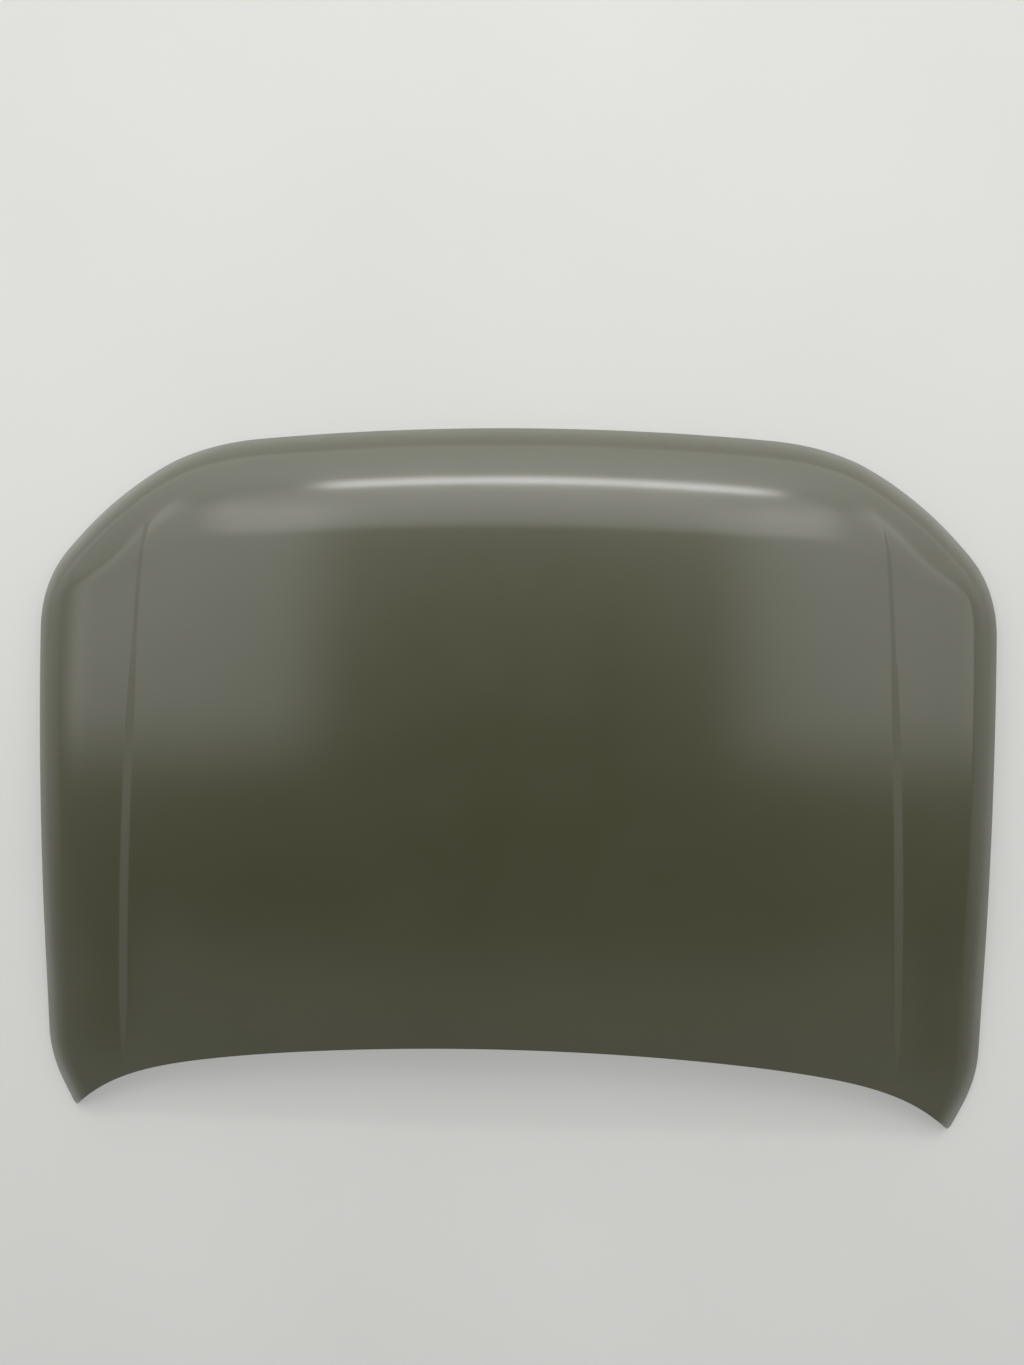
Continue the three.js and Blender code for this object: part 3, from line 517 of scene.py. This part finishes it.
def makeSkin():
    middle, band, flank = (np.linspace(0, 1, skinSteps[k] + 1) for k in ("middle", "band", "flank"))
    closer = skinSteps["closerFrom"]
    rows = np.concatenate([np.linspace(0, closer, skinSteps["rear"] + 1),
                           np.linspace(closer, 1, skinSteps["front"] + 1)[1:]])
    half, rearRun, sideRun, frontRun = planGrid(middle, band, flank, rows, crease["margin"])
    top = np.concatenate([half, skinHeight(half[..., 0], half[..., 1])[..., None]], -1)
    full = bothHalves(top)
    columns, count = full.shape[:2]
    points = [full.reshape(-1, 3)]
    faces = [gridFaces(columns, count)]
    ring = borderLoop(columns, count)
    sections = borderSections(rearRun, sideRun, frontRun)
    fold = sections[:, 1:]
    first = columns * count
    points.append(fold.transpose(1, 0, 2).reshape(-1, 3))
    rings = np.vstack([ring, first + np.arange(fold[..., 0].size).reshape(fold.shape[1], -1)])
    ahead = np.roll(rings, -1, 1)
    faces.append(np.stack([rings[:-1], rings[1:], ahead[1:], ahead[:-1]], -1).reshape(-1, 4))
    under = full - gridNormals(full) * hem["skinSheet"]
    every = skinSteps["underStep"]
    pickC = np.unique(np.append(np.arange(0, columns, every), columns - 1))
    pickR = np.unique(np.append(np.arange(0, count, every), count - 1))
    under = under[np.ix_(pickC, pickR)]
    first = sum(len(p) for p in points)
    points.append(under.reshape(-1, 3))
    faces.append(gridFaces(pickC.size, pickR.size, first)[:, ::-1])
    return np.concatenate(points), np.concatenate(faces)


# Keeps the fine pieces inside the box of the solids, whose bends have few facets, with a
# small room left at the sides, the floor and the top.
boxRoom = {"side": 0.05, "floor": 0.005, "top": 0.01}


def insideBox(points):
    low, high = np.array(cadBox) / metre
    side = boxRoom["side"]
    reach = np.abs(points[:, 0]).max()
    points = points * [min(1, (high[0] - side) / reach), 1, 1]
    y = points[:, 1]
    ends = [max(y.min(), low[1] + side), 0, min(y.max(), high[1] - side)]
    points[:, 1] = np.interp(y, [y.min(), 0, y.max()], ends)
    points[:, 2] = np.clip(points[:, 2], low[2] + boxRoom["floor"], high[2] - boxRoom["top"])
    return points


skinPoints, skinFaces = makeSkin()
outerSkin = addObject("outerSkin", insideBox(skinPoints) * metre, skinFaces, skinPaint, 50)
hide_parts("outer_skin")
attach(outerSkin, "root")
print("stage: outer skin", len(skinFaces))

# The inner panel's grid: where its channel, field and pad lines lie, as in the solids.
panel = {
    "middleStops": [0, 30, 44, 122, 200, 214, 258, 272, 350, 428, 442, 486, 500, 545, 585],
    "flankShares": [0, 0.1, 0.27, 0.46, 0.64, 0.8, 0.92, 1],
    "sideStops": [0, 7, 21, 50, 78, 92, 130, 175, 260, 274, 318, 332, 440, 548, 562, 606,
                  620, 705, 790, 804, 850, 885, 912, 930, 938],
    "channelColumns": [0, 1, 5, 6, 10, 11, 16, 17, 18, 19, 20, 21, 22],
    "channelRows": [0, 1, 2, 3, 4, 9, 10, 14, 15, 19, 20, 21, 22, 23, 24],
    "channelDepth": 24, "fieldDepth": 7, "lipDepth": 6, "lipReach": 8, "wallReach": 15,
    "groundShare": 0.62, "latchPadDepth": 16, "hingePadDepth": 26,
    "holeColumns": [(2, 4, 110), (7, 9, 110), (12, 15, 60)],
    "holeRows": [(5, 8, 112), (11, 13, 136), (16, 18, 110)],
    "holeRound": 26, "roundSteps": 12, "rimReach": 6, "rimDrop": 1.4, "cutHeights": (-50, 180),
    "latchColumns": (-1, 3), "latchRows": (19, 22), "hingeColumns": (17, 20), "hingeRows": (4, 8),
    "columnSize": 6.5, "rowSize": 7, "bandSteps": 3, "flankWidth": 150, "turnSoft": 1.2,
}
bolts = {"bore": 8.6, "boreSteps": 32, "headHeight": 5.3, "hingeGap": 60, "strikerGap": 90}


# Splits each step of a list of line positions into pieces no longer than the given size.
def splitStops(stops, size):
    parts = [np.linspace(k, k + 1, max(3, math.ceil((b - a) / size)) + 1)[:-1]
             for k, (a, b) in enumerate(zip(stops, stops[1:]))]
    return np.append(np.concatenate(parts), len(stops) - 1)


def lineWeight(lines, chosen, count):
    flags = np.isin(np.arange(count), chosen).astype(float)
    return ramp(np.interp(lines, np.arange(count), flags), 0, 1)


def padWeight(lines, low, high):
    return ramp(np.clip(1 + np.minimum(lines - low, high - lines), 0, 1), 0, 1)


def roundedBoxDistance(x, y, hole):
    reach = panel["holeRound"]
    qx = np.abs(np.abs(x) - hole["x"]) - (hole["width"] / 2 - reach)
    qy = np.abs(y - hole["y"]) - (hole["length"] / 2 - reach)
    outside = np.hypot(np.maximum(qx, 0), np.maximum(qy, 0))
    return outside + np.minimum(np.maximum(qx, qy), 0) - reach


# The lesser of two depths, with a soft turn where they meet.
def softMin(a, b):
    return 0.5 * (a + b - np.sqrt((a - b) ** 2 + panel["turnSoft"]))


# Where grid lines lie as shares of their stops' whole length.
def stopShares(lines, stops):
    return np.interp(lines, np.arange(len(stops)), np.array(stops) / stops[-1])


def makePanel():
    middleLines = splitStops(panel["middleStops"], panel["columnSize"])
    bandLines = np.linspace(0, 1, panel["bandSteps"] + 1)
    flankStops = [s * panel["flankWidth"] for s in panel["flankShares"]]
    flankLines = splitStops(flankStops, panel["columnSize"])
    rowLines = splitStops(panel["sideStops"], panel["rowSize"])
    split = len(panel["middleStops"]) - 1
    middle = stopShares(middleLines, panel["middleStops"])
    flank = stopShares(flankLines, panel["flankShares"])
    rows = stopShares(rowLines, panel["sideStops"])
    half = planGrid(middle, bandLines, flank, rows, 0)[0]
    columnLines = np.concatenate([middleLines, split + bandLines[1:], split + 1 + flankLines[1:]])
    u, v = columnLines[:, None], rowLines[None]
    x, y = half[..., 0], half[..., 1]
    surface = skinHeight(x, y)
    skin = np.concatenate([half, surface[..., None]], -1)
    normal = gridNormals(skin)
    normal[0, :, 0] = 0

    def nodeAt(c, r):
        i = np.argmin(np.abs(columnLines - c))
        return half[i, np.argmin(np.abs(rowLines - r))]

    holes = []
    for left, right, width in panel["holeColumns"]:
        for rear, front, length in panel["holeRows"]:
            spot = np.mean([nodeAt(c, r) for c in (left, right) for r in (rear, front)], 0)
            holes.append({"x": spot[0], "y": spot[1], "width": width, "length": length})
    inside = insideFold(x, y)
    rim = hem["skinSheet"] + hem["gap"]
    lip, reach = panel["lipDepth"], panel["lipReach"]
    wall = rim + (lip - rim) * ramp(inside, 0, reach)
    fall = ramp(inside, reach - 1, reach + panel["wallReach"])
    wall = wall + (panel["channelDepth"] - lip) * fall
    byColumn = lineWeight(u, panel["channelColumns"], split + 1 + len(panel["flankShares"]))
    byRow = lineWeight(v, panel["channelRows"], len(panel["sideStops"]))
    channel = 1 - (1 - byColumn) * (1 - byRow)
    wanted = mixed(panel["fieldDepth"], panel["channelDepth"], channel)
    for hole in holes:
        near = np.clip(1 - roundedBoxDistance(x, y, hole) / panel["rimReach"], 0, 1)
        wanted = wanted + panel["rimDrop"] * near ** 2
    room = np.maximum(lip, surface * panel["groundShare"])
    depth = np.maximum(rim, softMin(softMin(wall, wanted), room))
    depth = np.where(inside < 1e-3, rim, depth)
    top = skin - normal * rim
    top[..., 2] -= depth - rim
    latchWeight = padWeight(u, *panel["latchColumns"]) * padWeight(v, *panel["latchRows"])
    hingeWeight = padWeight(u, *panel["hingeColumns"]) * padWeight(v, *panel["hingeRows"])
    ends = [nodeAt(0, row)[1] for row in panel["latchRows"]]
    latch = {"y": sum(ends) / 2, "z": float(skinHeight(0, ends[1])) - panel["latchPadDepth"]}
    column, row = panel["hingeColumns"][0] + 1, panel["hingeRows"][0] + 2
    spots = np.mean([nodeAt(c, r) for c in (column, column + 1) for r in (row, row + 1)], 0)
    hinge = {"x": spots[0], "y": spots[1]}
    hinge["z"] = float(skinHeight(*spots)) - panel["hingePadDepth"]
    top[..., 2] = mixed(top[..., 2], latch["z"], latchWeight)
    top[..., 2] = mixed(top[..., 2], hinge["z"], hingeWeight)
    return top, holes, latch, hinge


# Distance in plan from the inner end of the folded leg, for points inside the outline.
def insideFold(x, y):
    shape = np.shape(x)
    px, py = np.abs(x).ravel(), np.asarray(y).ravel()
    line, normal = edgeLine[::2], edgeNormal[::2]
    leg = legAt(line, normal)
    inside = np.empty(px.size)
    for k in range(0, px.size, chunk):
        ex = px[k:k + chunk, None] - line[:, 0]
        ey = py[k:k + chunk, None] - line[:, 1]
        best = (ex * ex + ey * ey).argmin(1)
        row = np.arange(best.size)
        away = -(ex[row, best] * normal[best, 0] + ey[row, best] * normal[best, 1])
        inside[k:k + chunk] = away - leg[best]
    return np.maximum(0, inside).reshape(shape)


panelTop, panelHoles, latch, hinge = makePanel()
print("stage: panel grid", panelTop.shape, latch, hinge)


# A closed sheet: the grid, its copy one thickness below and a strip round the border.
def closedSheet(grid, thickness):
    columns, rows = grid.shape[:2]
    low = grid - gridNormals(grid) * thickness
    faces = gridFaces(columns, rows)
    loop = borderLoop(columns, rows)
    count = columns * rows
    strip = np.stack([loop, loop + count, np.roll(loop, -1) + count, np.roll(loop, -1)], -1)
    points = np.concatenate([grid.reshape(-1, 3), low.reshape(-1, 3)])
    return points, np.concatenate([faces, faces[:, ::-1] + count, strip])


def boreShape(x, y):
    count, radius = bolts["boreSteps"], bolts["bore"] / 2
    a = np.arange(count) * 2 * math.pi / count
    return np.stack([x + radius * np.cos(a), y + radius * np.sin(a)], 1)


def roundedBox(x, y, width, length):
    spots, radius = [], panel["holeRound"]
    for quarter, (sx, sy) in enumerate(((1, 1), (-1, 1), (-1, -1), (1, -1))):
        a = (quarter + np.linspace(0, 1, panel["roundSteps"] + 1)) * math.pi / 2
        cx, cy = x + sx * (width / 2 - radius), y + sy * (length / 2 - radius)
        spots.append(np.stack([cx + radius * np.cos(a), cy + radius * np.sin(a)], 1))
    return np.concatenate(spots)


# A prism over each shape, from the low height to the high one.
def cutterMesh(shapes, low, high):
    points, faces, first = [], [], 0
    for shape in shapes:
        n = len(shape)
        for z in (low, high):
            points += [(px * metre, py * metre, z * metre) for px, py in shape]
        faces.append(tuple(range(first + n - 1, first - 1, -1)))
        faces.append(tuple(range(first + n, first + 2 * n)))
        faces += [(first + k, first + (k + 1) % n, first + n + (k + 1) % n, first + n + k)
                  for k in range(n)]
        first += 2 * n
    mesh = bpy.data.meshes.new("cutter")
    mesh.from_pydata(points, [], faces)
    return mesh


# The piece's mesh with the cutters taken out of it.
def cutHoles(piece, shapes, low, high):
    cutter = bpy.data.objects.new("cutter", cutterMesh(shapes, low, high))
    scene.collection.objects.link(cutter)
    change = piece.modifiers.new("holes", "BOOLEAN")
    change.operation = "DIFFERENCE"
    change.solver = "MANIFOLD"
    change.object = cutter
    graph = bpy.context.evaluated_depsgraph_get()
    mesh = bpy.data.meshes.new_from_object(piece.evaluated_get(graph))
    piece.modifiers.clear()
    old = piece.data
    piece.data = mesh
    mesh.name = old.name
    bpy.data.meshes.remove(old)
    cutMesh = cutter.data
    bpy.data.objects.remove(cutter)
    bpy.data.meshes.remove(cutMesh)
    mesh.set_sharp_from_angle(angle=math.radians(40))


panelPoints, panelFaces = closedSheet(bothHalves(panelTop), hem["innerSheet"])
panelPiece = addObject("innerPanel", insideBox(panelPoints) * metre, panelFaces, panelPaint)
cuts = []
for side in (-1, 1):
    for hole in panelHoles:
        cuts.append(roundedBox(side * hole["x"], hole["y"], hole["width"], hole["length"]))
    for end in (-0.5, 0.5):
        cuts.append(boreShape(side * hinge["x"], hinge["y"] + end * bolts["hingeGap"]))
    cuts.append(boreShape(side * bolts["strikerGap"] / 2, latch["y"]))
before = len(panelPiece.data.polygons)
cutHoles(panelPiece, cuts, *panel["cutHeights"])
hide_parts("inner_panel")
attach(panelPiece, "root")
print("stage: inner panel", before, len(panelPiece.data.polygons))


# A hexagon across its flats with cones at its chamfered ends, the grooves of its thread, and
# how much a chamfer or a tip takes off.
hexagon = {
    "sides": 96, "across": 13, "levels": [0, 0.25, 0.5, 0.8, 1.2], "noCone": 9,
    "coneIn": 0.35, "coneSlope": 1.75, "boreRows": 33, "shankRows": 120, "pitch": 1.25,
    "boreGroove": 0.12, "boreChamfer": 0.5, "shankGroove": 0.14, "shankIn": 0.15,
    "tipChamfer": 0.9, "point": 0.01,
}


# Rings of a nut or bolt head between two heights, with a threaded bore or a threaded shank.
def hexPiece(x, y, low, high, bore, chamferLow, chamferHigh, shank=None):
    sides, point = hexagon["sides"], hexagon["point"]
    a = np.linspace(0, 2 * math.pi, sides + 1)[:-1] + math.pi / 6
    half = hexagon["across"] / 2
    flats = half / np.cos((a % (math.pi / 3)) - math.pi / 6)
    steps, noCone = np.array(hexagon["levels"]), hexagon["noCone"]
    levels = [(low + s, s if chamferLow else noCone) for s in steps]
    levels += [(high - s, s if chamferHigh else noCone) for s in steps[::-1]]
    cone = half - hexagon["coneIn"]
    rings = [(z, np.minimum(flats, cone + hexagon["coneSlope"] * s)) for z, s in levels]
    turn = 2 * math.pi / hexagon["pitch"]
    if bore:
        depth = np.linspace(high, low, hexagon["boreRows"])
        groove = hexagon["boreGroove"] * np.sin((depth - low) * turn)
        edge = np.maximum(0, hexagon["boreChamfer"] - np.minimum(high - depth, depth - low))
        radius = bore / 2 + groove * (edge == 0) + edge
        rings += [(z, np.full(sides, r)) for z, r in zip(depth, radius)] + rings[:1]
    else:
        rings = [(low, np.full(sides, point))] + rings
        if shank:
            rings.append((high, np.full(sides, shank["radius"])))
            depth = np.linspace(high, shank["top"], hexagon["shankRows"])
            groove = hexagon["shankGroove"] * np.sin(depth * turn)
            tip = np.maximum(0, depth - shank["top"] + hexagon["tipChamfer"])
            radius = shank["radius"] - hexagon["shankIn"] + groove - tip
            rings += [(z, np.full(sides, r)) for z, r in zip(depth, radius)]
            high = shank["top"]
        rings.append((high, np.full(sides, point)))
    grid = np.stack([np.stack([x + r * np.cos(a), y + r * np.sin(a), np.full(sides, z)], 1)
                     for z, r in rings])
    k = np.arange(len(rings) * sides).reshape(len(rings), sides)
    ahead = np.roll(k, -1, 1)
    faces = np.stack([k[:-1], ahead[:-1], ahead[1:], k[1:]], -1).reshape(-1, 4)
    return grid.reshape(-1, 3), faces


# A node's name without its underscores, each later word with a capital.
def pieceName(node):
    words = node.split("_")
    return words[0] + "".join(word.capitalize() for word in words[1:])


# A node's lowest and highest height in millimetres.
def heights(node):
    return [corner[2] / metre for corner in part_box(node)]


def addFastener(node, points, faces):
    piece = addObject(pieceName(node), points * metre, faces, zincPlate, 35)
    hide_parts(node)
    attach(piece, "root")


for side, word in ((-1, "left"), (1, "right")):
    for end, place in ((-0.5, "rear"), (0.5, "front")):
        node = "hinge_nut_" + word + "_" + place
        low, high = heights(node)
        y = hinge["y"] + end * bolts["hingeGap"]
        addFastener(node, *hexPiece(side * hinge["x"], y, low, high, bolts["bore"], False, True))
    node = "striker_nut_" + word
    low, high = heights(node)
    x = side * bolts["strikerGap"] / 2
    addFastener(node, *hexPiece(x, latch["y"], low, high, bolts["bore"], False, True))
    node = "striker_bolt_" + word
    low, top = heights(node)
    high = low + bolts["headHeight"]
    shank = {"radius": bolts["bore"] / 2 - hem["gap"], "top": top}
    addFastener(node, *hexPiece(x, latch["y"], low, high, 0, True, False, shank))
print("stage: fasteners")

# The striker wire: two legs and a bar, joined by quarter bends, swept with a round section.
loop = {"wire": 8, "span": 34, "bend": 10, "bendPoints": 15, "legPoints": 7, "sides": 32}


def makeLoop():
    low, high = heights("striker_loop")
    half, turn, count = loop["span"] / 2, loop["bend"], loop["legPoints"]
    bar = low + loop["wire"] / 2
    a = np.linspace(0, math.pi / 2, loop["bendPoints"])
    left = np.stack([-half + turn - turn * np.cos(a), bar + turn - turn * np.sin(a)], 1)
    right = (left * [-1, 1])[::-1]
    legs = np.linspace(high, bar + turn, count + 1)[:-1]
    start = np.stack([np.full(count, -half), legs], 1)
    end = np.stack([np.full(count, half), legs[::-1]], 1)
    path = np.concatenate([start, left, right, end])
    run = np.gradient(path, axis=0)
    run /= np.linalg.norm(run, axis=1, keepdims=True)
    out = np.stack([run[:, 1], -run[:, 0]], 1)
    a = np.linspace(0, 2 * math.pi, loop["sides"] + 1)[:-1]
    r = loop["wire"] / 2
    x = path[:, :1] + out[:, :1] * r * np.cos(a)
    z = path[:, 1:] + out[:, 1:] * r * np.cos(a)
    y = latch["y"] + r * np.sin(a) + 0 * x
    grid = np.stack([x, y, z], -1)
    k = np.arange(x.size).reshape(x.shape)
    ahead = np.roll(k, -1, 1)
    faces = np.stack([k[:-1], k[1:], ahead[1:], ahead[:-1]], -1).reshape(-1, 4)
    return grid.reshape(-1, 3) * metre, faces


loopPiece = addObject("strikerLoop", *makeLoop(), zincPlate, 60)
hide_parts("striker_loop")
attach(loopPiece, "root")


# A copy of a flat plate whose edges are broken by a small bevel. Lengths are in metres here.
plates = {"bevel": 0.0004, "merge": 2e-6, "flatAngle": math.radians(3), "sharpAngle": 1.0}


def addPlate(node, material):
    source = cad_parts[node]
    mesh = bpy.data.meshes.new(node + "Plate")
    shape = bmesh.new()
    shape.from_mesh(source.data)
    bmesh.ops.transform(shape, matrix=source.matrix_world, verts=shape.verts)
    bmesh.ops.remove_doubles(shape, verts=shape.verts, dist=plates["merge"])
    bmesh.ops.dissolve_limit(shape, angle_limit=plates["flatAngle"], verts=shape.verts,
                             edges=shape.edges)
    sharp = [edge for edge in shape.edges
             if len(edge.link_faces) == 2 and edge.calc_face_angle() > plates["sharpAngle"]]
    bmesh.ops.bevel(shape, geom=sharp, offset=plates["bevel"], segments=2, affect="EDGES",
                    profile=0.5)
    shape.to_mesh(mesh)
    shape.free()
    piece = addMesh(pieceName(node), mesh, material, 35)
    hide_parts(node)
    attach(piece, "root")


addPlate("striker_plate", zincPlate)
for node in ("latch_plate", "hinge_plate_left", "hinge_plate_right"):
    addPlate(node, platePaint)
for name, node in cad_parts.items():
    if name.startswith("mastic_"):
        node.data.materials.clear()
        node.data.materials.append(masticBead)
print("stage: plates and mastic")

# The floor: pale paint, which gives off a part of its own tone to the camera alone.
floorLook = {"reach": 9, "dark": (0.63, 0.63, 0.61, 1), "light": (0.66, 0.66, 0.64, 1),
             "even": 0.45}
floorPaint, tree, shader, place = newMaterial("floorPaint", {"Roughness": 0.85})
cloud = addRange(tree, addNoise(tree, place, 1.2, 3), 0, 1)
tone = addMix(tree, cloud, floorLook["dark"], floorLook["light"])
tree.links.new(tone, shader.inputs["Base Color"])
even = tree.nodes.new("ShaderNodeEmission")
tree.links.new(tone, even.inputs["Color"])
seen = tree.nodes.new("ShaderNodeLightPath").outputs["Is Camera Ray"]
share = addProduct(tree, seen, floorLook["even"])
showShaders(tree, "Material Output", share, shader.outputs["BSDF"], even.outputs["Emission"])
floorMesh = bpy.data.meshes.new("floor")
r = floorLook["reach"]
floorMesh.from_pydata([(-r, -r, 0), (r, -r, 0), (r, r, 0), (-r, r, 0)], [], [(0, 1, 2, 3)])
floorMesh.materials.append(floorPaint)
floor = bpy.data.objects.new("floor", floorMesh)
scene.collection.objects.link(floor)


# A soft box whose light fades towards the left, right, bottom and top edge of its cloth.
def addLamp(name, spot, target, size, power, fades):
    data = bpy.data.lights.new(name, "AREA")
    data.shape = "RECTANGLE"
    data.size, data.size_y = size
    data.energy = power
    data.use_nodes = True
    tree = data.node_tree
    cloth = tree.nodes.new("ShaderNodeSeparateXYZ")
    tree.links.new(tree.nodes.new("ShaderNodeNewGeometry").outputs["Parametric"], cloth.inputs[0])
    level = None
    for axis, length, pair in (("X", size[0], fades[:2]), ("Y", size[1], fades[2:])):
        for start, end in ((0, pair[0] / length), (1, 1 - pair[1] / length)):
            edge = tree.nodes.new("ShaderNodeMapRange")
            edge.interpolation_type = "SMOOTHSTEP"
            edge.inputs["From Min"].default_value = start
            edge.inputs["From Max"].default_value = end
            tree.links.new(cloth.outputs[axis], edge.inputs["Value"])
            fade = edge.outputs["Result"]
            level = addProduct(tree, level, fade) if level else fade
    tree.links.new(level, tree.nodes["Emission"].inputs["Strength"])
    lamp = bpy.data.objects.new(name, data)
    lamp.location = spot
    lamp.rotation_euler = (Vector(spot) - Vector(target)).to_track_quat("Z", "Y").to_euler()
    lamp.visible_camera = False
    scene.collection.objects.link(lamp)


# A wide box and a strip over the nose, a box and a thin rim light on each side, and a weak box
# behind. Places and sizes are in metres, power in watts.
sideLamps = {
    "Box": {"spot": (1.861, 1.15, 2.323), "target": (0.291, 1.15, 0.423), "size": (3.2, 2.17),
            "power": 33, "fades": (0.6, 0.6, 0.1, 0.6)},
    "Rim": {"spot": (2.66, 1.15, 1.62), "target": (0.6, 1.15, 0.1), "size": (3.2, 0.14),
            "power": 3.2, "fades": (0.6, 0.6, 0.03, 0.03)},
}
addLamp("frontBox", (0, 2.2, 2.5), (0, 0.2, 0), (5.0, 2.1), 64, (0.6, 0.6, 0.6, 0.4))
addLamp("noseStrip", (0.1, 3.5, 2.5), (0.1, 0.4, 0), (3.7, 0.46), 73, (0.3, 0.3, 0.24, 0.1))
for kind, look in sideLamps.items():
    for side, word in ((-1, "left"), (1, "right")):
        spot, target = ((side * p[0], *p[1:]) for p in (look["spot"], look["target"]))
        addLamp(word + kind, spot, target, look["size"], look["power"], look["fades"])
addLamp("rearBox", (0, -2.1, 2.5), (0, -0.4, 0), (7.0, 2.0), 19, (0.8, 0.8, 0.4, 0.8))

# The room: pale walls all round up to a height, stronger in front and dimmer behind, under a
# dark ceiling, and plain grey for the camera.
roomLook = {"walls": (1, 0.12, 0.5, 0.6), "sides": (0.45, 1.8, -0.3, 0.85),
            "seen": (0.70, 0.70, 0.69, 1)}
world = bpy.data.worlds.new("studio")
scene.world = world
world.use_nodes = True
tree = world.node_tree
room = tree.nodes["Background"]
room.inputs["Color"].default_value = (1, 1, 1, 1)
facing = tree.nodes.new("ShaderNodeSeparateXYZ")
tree.links.new(tree.nodes.new("ShaderNodeTexCoord").outputs["Generated"], facing.inputs[0])
walls = addRange(tree, facing.outputs["Z"], *roomLook["walls"])
sides = addRange(tree, facing.outputs["Y"], *roomLook["sides"])
tree.links.new(addProduct(tree, walls, sides), room.inputs["Strength"])
plain = tree.nodes.new("ShaderNodeBackground")
plain.inputs["Color"].default_value = roomLook["seen"]
seen = tree.nodes.new("ShaderNodeLightPath").outputs["Is Camera Ray"]
showShaders(tree, "World Output", seen, room.outputs["Background"], plain.outputs["Background"])

# The camera looks down, with the place, turns and lens that were fitted to the photograph.
view = {"sensor": 36, "lens": 27.16, "place": (0.06464, 0.19765, 1.6479),
        "turns": (("X", -0.0288), ("Y", 0.0377), ("Z", 0.0129))}
camera = bpy.data.objects.new("camera", bpy.data.cameras.new("camera"))
camera.data.sensor_width = view["sensor"]
camera.data.lens = view["lens"]
pose = Matrix.Translation(view["place"])
for axis, angle in view["turns"]:
    pose = pose @ Matrix.Rotation(angle, 4, axis)
camera.matrix_world = pose
scene.collection.objects.link(camera)
scene.camera = camera
print("stage: floor, lamps and camera")

bpy.context.view_layer.update()
